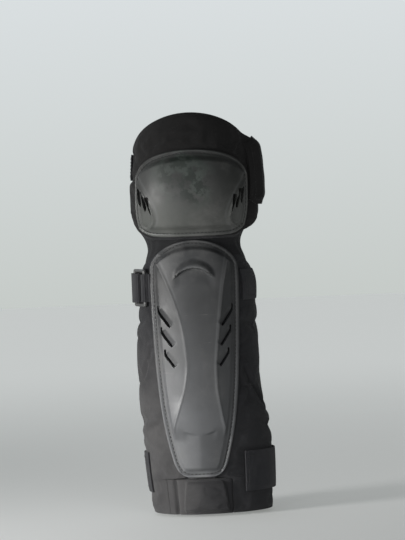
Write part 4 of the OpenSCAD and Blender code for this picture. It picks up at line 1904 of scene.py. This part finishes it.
@dataclass
class AnklePad:
    """The raised pad below the plate's tip, edged by two pressed grooves."""

    panel_left: float = -23.0
    panel_right: float = 23.5
    groove_left: float = -30.5
    groove_right: float = 26.5
    lift: float = 5.4

    def off(self, angle: Array, z: Array) -> Array:
        """The outer face: a raised panel, wider at the hem, between two grooves.

        Args:
            angle: Angles, in degrees.
            z: Heights.

        Returns:
            Distances outside the form.
        """
        lean = 0.10 * (z + P.shin_h)
        left, right = angle - self.panel_left - lean, self.panel_right - lean - angle
        ends = np.minimum(z + P.shin_h, P.pad_top - z)
        panel = ramp(0, 3.2, left) * ramp(0, 3.2, right) * ramp(2, 7, ends)
        grooves = bump(angle - self.groove_left, 2.4) + 0.6 * bump(angle - self.groove_right, 1.6)
        soft = 0.35 * ripples(angle / 60, z / 50, 21)
        return self.lift * panel + soft - 3.4 * grooves

    def freedom(self, angle: Array, z: Array) -> Array:
        """Where it may swell: inside its panel."""
        ends = np.minimum(z + P.shin_h, P.pad_top - z)
        across = np.minimum(angle - self.panel_left, self.panel_right - angle)
        return ramp(0, 8, across) * ramp(3, 12, ends)

    def place(self, u: Array, v: Array) -> tuple[Array, Array]:
        """Angle and height on the pad."""
        start, end, top = P.pad_left + 0.4, P.pad_right - 0.4, P.pad_top - 0.4
        return start + (end - start) * u, -P.shin_h + (top + P.shin_h) * v

    def build(self, finishes: Finishes) -> list[bpy.types.Object]:
        """The pad and the stitches down its grooves.

        Args:
            finishes: The guard's materials.

        Returns:
            The pieces.
        """
        obj = SwollenPad("ankle_front_pad", SHIN, self.place, self.off, self.freedom, 60, 42, 2.0, 2.0,
                         0.02, smooth=False).build(finishes.wing)
        rows = []
        for angle_at in (self.groove_left, self.groove_right):
            heights = np.linspace(-P.shin_h + 4, P.pad_top - 3, 40)
            angles = np.full(40, angle_at)
            line = SHIN.point(angles, heights, self.off(angles, heights))
            normals = SHIN.point(angles, heights, self.off(angles, heights) + 1) - line
            rows.append(Stitcher(2.8, 1.4, 0.8).sew("ankle_row", line, normals))
        stitches = dress(joined("ankle_pad_stitches", rows), finishes.thread)
        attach(stitches, Body.SHIN.value)
        return fit([(obj, "ankle_pad", "cover_cloth")], Body.SHIN) + [stitches]


@dataclass
class KneeStrap:
    """The knee strap: its padded flap on the knee section, and the elastic that opens."""

    flap: tuple[float, float] = (66.0, 113.4)
    span: tuple[float, float] = (112.0, 276.0)
    heights: tuple[float, float] = (84.0, 118.0)

    def flap_low(self, angle: Array) -> Array:
        """Lower edge of the flap."""
        return 47 + 30 * ramp(80, 113, angle) + 6 * ramp(72, 66, angle)

    def flap_high(self, angle: Array) -> Array:
        """Upper edge of the flap."""
        return 136 - 10 * ramp(80, 66, angle) - 15 * ramp(84, 113, angle)

    def flap_off(self, angle: Array, z: Array) -> Array:
        """The flap's crowned outer face.

        Args:
            angle: Angles, in degrees.
            z: Heights.

        Returns:
            Distances outside the form.
        """
        across = np.minimum((angle - self.flap[0]) * 1.3, (self.flap[1] - angle) * 1.3)
        ends = np.minimum(z - self.flap_low(angle), self.flap_high(angle) - z)
        crown = ramp(0, 12, np.minimum(across, ends))
        row = bump(np.minimum(across, ends) - 5.5, 1.0)
        under = KneeSection.fullness(angle, z)
        sunk = 3.0 * ramp(15, 0, self.flap_high(angle) - z)
        return 6.0 + under + 2.8 * crown - 0.5 * row - sunk + 0.4 * ripples(angle / 60, z / 60, 31)

    def build(self, finishes: Finishes) -> list[bpy.types.Object]:
        """The flap, the strap, its hook tape and their stitches.

        Args:
            finishes: The guard's materials.

        Returns:
            The pieces.
        """
        low, high = self.heights
        middle, width = (low + high) / 2, high - low
        flap = Wrap("knee_strap_flap_pad", KNEE, *self.flap, self.flap_low, self.flap_high,
                    self.flap_off, 5.2, 44, 50, 1.8).build()
        dress(flap, finishes.cover)
        flap_row = self.flap_row(finishes.thread)
        elastic = strap("knee_elastic_strap", KNEE, self.span, middle, width,
                        lambda a: 5.4 - 1.6 * ramp(116, 112, a) - 2.6 * ramp(236, 248, a), 1.8, 150)
        hook = strap("knee_strap_hook_tape", KNEE, (250, 275), middle, width - 3, lambda a: 0.9 + 0 * a,
                     0.9, 30)
        dress(elastic, finishes.elastic), dress(hook, finishes.hook)
        box = box_stitches("knee_strap_box", KNEE, (251, 273), (low + 4, high - 4), 2.8, finishes.thread)
        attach(flap_row, Body.KNEE.value)
        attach(box, Body.KNEE_STRAP.value)
        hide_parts("knee_strap")
        start, end = KNEE.point(np.array([112.5, 122]), np.array([middle, middle]), 4.0) * MM
        tuple(start)
        tuple(end)
        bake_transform(elastic)
        fit([(hook, "knee_strap_hook", "hook_tape")], Body.KNEE_STRAP)
        fit([(flap, "knee_strap_flap", "cover_cloth")], Body.KNEE)
        return [flap, flap_row, elastic, hook, box]

    def flap_row(self, thread: bpy.types.Material) -> bpy.types.Object:
        """The stitches round the flap, in from its edge.

        Args:
            thread: The stitches' material.

        Returns:
            The stitches.
        """
        inset = 4.4
        a0, a1 = self.flap[0] + inset, self.flap[1] - inset
        t = np.linspace(0, 1, 40)
        angles = np.concatenate([a0 + (a1 - a0) * t, np.full(40, a1), a1 + (a0 - a1) * t, np.full(40, a0)])
        low, high = self.flap_low(angles) + 5.5, self.flap_high(angles) - 5.5
        share = np.concatenate([np.zeros(40), t, np.ones(40), 1 - t])
        heights = low + (high - low) * share
        off = self.flap_off(angles, heights)
        line = KNEE.point(angles, heights, off)
        normals = KNEE.point(angles, heights, off + 1) - line
        keep = np.concatenate([[True], np.linalg.norm(np.diff(line, axis=0), axis=1) > 0.02])
        return dress(Stitcher(2.8, 1.3, 0.8).sew("knee_flap_stitches", line[keep], normals[keep]), thread)


@dataclass
class CalfStrap:
    """The calf strap: keeper, ring, fold-back tab, elastic and its sewn end."""

    ring_angles: tuple[float, float] = (-58.0, -88.0)
    ring_offs: tuple[float, float] = (6.2, 7.0)
    wrap_radius: float = 3.0
    bend: tuple[float, float] = (-87.0, -97.0)

    def __post_init__(self) -> None:
        """Reads the strap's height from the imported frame."""
        low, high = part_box("calf_strap")
        self.z, self.width = (low.z + high.z) / 2 / MM, (high.z - low.z) / MM

    def on_form(self, angles: Array, off: float) -> Array:
        """Level points off the shin's form, as x and y."""
        return SHIN.point(angles, np.full(len(angles), self.z), off)[:, :2]

    def turn(self, bar: int, first: float, last: float) -> Array:
        """A counterclockwise arc round a ring bar, as x and y."""
        centre = SHIN.point(np.array([self.ring_angles[bar]]), np.array([self.z]),
                            self.ring_offs[bar])[0, :2]
        t = np.radians(np.linspace(first, last, 40))
        return centre + self.wrap_radius * np.stack([np.cos(t), np.sin(t)], axis=1)

    def keeper(self, finish: bpy.types.Material) -> bpy.types.Object:
        """The webbing that holds the ring's front bar, doubled and sewn down."""
        under = self.on_form(np.linspace(-50.5, -54.5, 8), 2.6)
        over = self.on_form(np.linspace(-54.0, -50.5, 8), 2.8)
        path = np.concatenate([under, self.turn(0, 22, 292)[0:], over])
        return dress(loop_of("calf_keeper_loop", path, self.z, 36, 1.9), finish)

    def tab(self, finish: bpy.types.Material) -> bpy.types.Object:
        """The webbing that folds round the ring's back bar and over the strap's end.

        Args:
            finish: The piece's material.

        Returns:
            The webbing.
        """
        over = np.concatenate([self.on_form(np.linspace(-136, -96, 50), 5.5),
                               self.on_form(np.linspace(-92, -71, 24), 10.4)])
        nose = np.concatenate([self.on_form(np.array([a]), off) for a, off in
                               ((-69.2, 9.8), (-68.2, 8.6), (-67.9, 7.2), (-68.2, 5.8), (-69.2, 4.6))])
        under = self.on_form(np.linspace(-71, -100, 30), 4.0)
        path = np.concatenate([over, nose, under])
        return dress(loop_of("calf_tab_loop", path, self.z, 38, 1.9), finish)

    def build(self, finishes: Finishes) -> list[bpy.types.Object]:
        """Every piece of the strap, riding.

        Args:
            finishes: The guard's materials.

        Returns:
            The pieces.
        """
        width = self.width
        base = strap("calf_strap_sewn_end", SHIN, (50, 76), self.z, width, lambda a: 3.4 + 0 * a, 3.0, 40)
        long = strap("calf_elastic_strap", SHIN, (75.4, 256), self.z, width,
                     lambda a: 2.4 + 1.0 * ramp(79, 75.5, a), P.strap, 160)
        loop = strap("calf_loop_tape", SHIN, (222, 255), self.z, width - 3, lambda a: 3.5 + 0 * a, 1.1, 36)
        hook = strap("calf_tab_hook_tape", SHIN, (-134, -106), self.z, 35, lambda a: 5.2 + 0 * a, 1.0, 30)
        keeper, tab = self.keeper(finishes.elastic), self.tab(finishes.elastic)
        for obj, finish in ((base, finishes.elastic), (long, finishes.elastic),
                            (loop, finishes.loop), (hook, finishes.hook)):
            dress(obj, finish)
        boxes = [box_stitches("calf_base_box", SHIN, (56, 73), (self.z - 15, self.z + 15), 3.4,
                              finishes.thread)]
        tab_box = box_stitches("calf_tab_box", SHIN, (-132, -108), (self.z - 14, self.z + 14), 7.4,
                               finishes.thread)
        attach(boxes[0], Body.SHIN.value)
        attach(tab_box, Body.CALF_TAB.value)
        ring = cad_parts["calf_ring"]
        for place in ring.material_slots:
            place.material = finishes.ring
        made = fit([(base, "calf_strap_base", "elastic"), (long, "calf_strap", "elastic"),
                    (loop, "calf_loop_patch", "loop_tape"), (keeper, "calf_keeper", "elastic")], Body.SHIN)
        made += fit([(hook, "calf_tab_hook", "hook_tape")], Body.CALF_TAB)
        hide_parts("calf_tab")
        start, end = SHIN.point(np.array(self.bend), np.array([self.z, self.z]), 6.0) * MM
        tuple(start)
        tuple(end)
        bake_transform(tab)
        return made + boxes + [tab, tab_box]


@dataclass
class AnkleStrap:
    """The ankle strap, which closes on the front with a wide tab."""

    tab_angles: tuple[float, float] = (36.0, 109.0)
    bend: tuple[float, float] = (108.5, 101.0)

    def build(self, finishes: Finishes) -> list[bpy.types.Object]:
        """Every piece of the strap, riding or baked in place.

        Args:
            finishes: The guard's materials.

        Returns:
            The pieces.
        """
        low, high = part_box("ankle_strap")
        z, width = (low.z + high.z) / 2 / MM, (high.z - low.z) / MM
        base = strap("ankle_strap_sewn_end", SHIN, (-98, -68), z, width, lambda a: 3.4 + 0 * a, 3.0, 40)
        long = strap("ankle_elastic_strap", SHIN, (102, 262), z, width,
                     lambda a: 2.4 + 0.9 * ramp(257, 261, a), P.strap, 150)
        patch_tape = strap("ankle_loop_tape", SHIN, (57, 100), z, width - 5, lambda a: 1.6 + 0 * a, 1.2, 40)
        tab = strap("ankle_strap_tab", SHIN, self.tab_angles, z, width,
                    lambda a: 5.4 - 0.5 * ramp(104, 109, a), P.strap, 90)
        hook = strap("ankle_tab_hook_tape", SHIN, (38, 70), z, width - 6, lambda a: 3.2 + 0 * a, 1.0, 34)
        for obj, finish in ((base, finishes.elastic), (long, finishes.elastic), (tab, finishes.elastic),
                            (patch_tape, finishes.loop), (hook, finishes.hook)):
            dress(obj, finish)
        tab_box = box_stitches("ankle_tab_box", SHIN, (39, 66), (z - 20, z + 20), 5.4, finishes.thread)
        base_box = box_stitches("ankle_base_box", SHIN, (-94, -74), (z - 20, z + 20), 3.4, finishes.thread)
        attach(tab_box, Body.ANKLE_TAB.value)
        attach(base_box, Body.SHIN.value)
        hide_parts("ankle_tab")
        start, end = SHIN.point(np.array(self.bend), np.array([z, z]), 4.4) * MM
        tuple(start)
        tuple(end)
        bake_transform(tab)
        made = fit([(base, "ankle_strap_base", "elastic"), (long, "ankle_strap", "elastic"),
                    (patch_tape, "ankle_loop_patch", "loop_tape")], Body.SHIN)
        made += fit([(hook, "ankle_tab_hook", "hook_tape")], Body.ANKLE_TAB)
        return made + [tab, tab_box, base_box]


# ---------------------------------------------------------------- studio


@dataclass
class Studio:
    """The pale floor, the soft lights and the camera."""

    middle: tuple[float, float] = (0.0115, -0.0346)
    lens: float = 150.0
    tall: float = 0.691
    elevation: float = 1.5
    roll: float = -2.33
    shade_right: float = 0.16
    shade_top: float = 0.12

    def floor(self) -> bpy.types.Object:
        """A wide floor just below the guard.

        Returns:
            The floor.
        """
        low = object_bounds()[0].z
        bpy.ops.object.select_all(action="DESELECT")
        bpy.ops.mesh.primitive_plane_add(size=14, location=(0, 0, 0))
        obj = bpy.context.object
        obj.name = obj.data.name = "studio_floor"
        bpy.ops.object.mode_set(mode="EDIT")
        bpy.ops.mesh.select_all(action="SELECT")
        bpy.ops.transform.translate(value=(0, 0, low - 0.004))
        bpy.ops.object.mode_set(mode="OBJECT")
        dress(obj, PaleFloor().build())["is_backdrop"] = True
        return obj

    def light(self, name: str, place: Sequence[float], size: float, power: float,
              tint: Sequence[float] = (1, 1, 1), aim_z: float = -0.08,
              spread: float = 180.0) -> bpy.types.Object:
        """A soft square light aimed at the guard, with its spread in degrees.

        Args:
            name: The light's name.
            place: Where it is.
            size: Its side's length.
            power: Its power, in watts.
            tint: Its colour.
            aim_z: The height it is aimed at.
            spread: Its spread, in degrees.

        Returns:
            The light.
        """
        bpy.ops.object.select_all(action="DESELECT")
        bpy.ops.object.light_add(type="AREA", location=place)
        lamp = bpy.context.object
        lamp.name = name
        lamp.data.size = size
        lamp.data.energy = power
        lamp.data.color = tint
        lamp.data.spread = math.radians(spread)
        aim = Vector((0.0, 0.0, aim_z)) - Vector(place)
        lamp.rotation_euler = aim.to_track_quat("-Z", "Y").to_euler()
        return lamp

    def air(self) -> None:
        """A pale surrounding: seen, a soft fade from bottom to top; as light, weaker on the right."""
        world = bpy.data.worlds.new("pale_air")
        bpy.context.scene.world = world
        world.use_nodes = True
        tree = world.node_tree
        tree.nodes.clear()
        link = tree.links.new
        where = tree.nodes.new("ShaderNodeTexCoord")
        split = tree.nodes.new("ShaderNodeSeparateXYZ")
        link(where.outputs["Generated"], split.inputs["Vector"])
        fades = []
        ways = (("Z", -0.12, 0.12, 0, 1), ("X", 0.1, 0.8, 1, self.shade_right),
                ("Z", 0.25, 0.9, 1, self.shade_top))
        for axis, low, high, to_low, to_high in ways:
            fade = tree.nodes.new("ShaderNodeMapRange")
            link(split.outputs[axis], fade.inputs["Value"])
            for name, number in zip(("From Min", "From Max", "To Min", "To Max"),
                                    (low, high, to_low, to_high)):
                fade.inputs[name].default_value = number
            fades.append(fade.outputs["Result"])
        blend = tree.nodes.new("ShaderNodeMix")
        blend.data_type = "RGBA"
        blend.inputs[6].default_value = (0.485, 0.515, 0.474, 1)
        blend.inputs[7].default_value = (0.72, 0.76, 0.78, 1)
        link(fades[0], blend.inputs["Factor"])
        weak = tree.nodes.new("ShaderNodeMath")
        weak.operation = "MULTIPLY"
        link(fades[1], weak.inputs[0])
        link(fades[2], weak.inputs[1])
        seen = tree.nodes.new("ShaderNodeLightPath")
        either = tree.nodes.new("ShaderNodeMath")
        either.operation = "MAXIMUM"
        link(weak.outputs["Value"], either.inputs[0])
        link(seen.outputs["Is Camera Ray"], either.inputs[1])
        glow = tree.nodes.new("ShaderNodeBackground")
        output = tree.nodes.new("ShaderNodeOutputWorld")
        link(blend.outputs[2], glow.inputs["Color"])
        link(either.outputs["Value"], glow.inputs["Strength"])
        link(glow.outputs["Background"], output.inputs["Surface"])

    def camera(self) -> bpy.types.Object:
        """The camera, level with the guard's middle and leaning a little.

        Returns:
            The camera.
        """
        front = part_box("shin_shell")[0].y
        away = self.tall * self.lens / 36.0
        rise = math.radians(self.elevation)
        across, middle = self.middle
        place = Vector((across, front - away * math.cos(rise), middle + away * math.sin(rise)))
        bpy.ops.object.select_all(action="DESELECT")
        bpy.ops.object.camera_add(location=place)
        eye = bpy.context.object
        eye.name = "front_camera"
        eye.data.lens = self.lens
        eye.data.clip_start, eye.data.clip_end = 0.05, 60
        aim = Vector((across, front, middle)) - place
        turned = aim.to_track_quat("-Z", "Y").to_matrix() @ Matrix.Rotation(math.radians(self.roll), 3, "Z")
        eye.rotation_euler = turned.to_euler()
        bpy.context.scene.camera = eye
        return eye

    def build(self) -> None:
        """The whole studio."""
        self.floor()
        self.air()
        self.light("key_left", (-1.4, -0.75, -0.10), 0.4, 3.7, (1.0, 0.99, 0.97), -0.36, 56.0)
        self.light("fill_right", (0.6, -1.5, 0.0), 0.6, 4.0, (1.0, 0.99, 0.98))
        self.light("low_front", (-0.50, -1.1, -0.24), 0.2, 0.9, (0.98, 0.99, 1.0), -0.30, 90.0)
        self.camera()
        bpy.context.scene.view_settings.view_transform = "Standard"


def main() -> None:
    """Builds the guard's sub-assemblies in order, logging each piece's face count, then the studio."""
    logging.basicConfig(level=logging.INFO, format="%(message)s")
    finishes = Finishes()
    for section in (KneeSection(), NeckCloth(), ShinSection(), AnklePad(), KneeStrap(), CalfStrap(),
                    AnkleStrap()):
        for obj in section.build(finishes):
            LOG.info("%s: %s, %d faces", type(section).__name__, obj.name, len(obj.data.polygons))
    Studio().build()


if __name__ == "__main__":
    main()
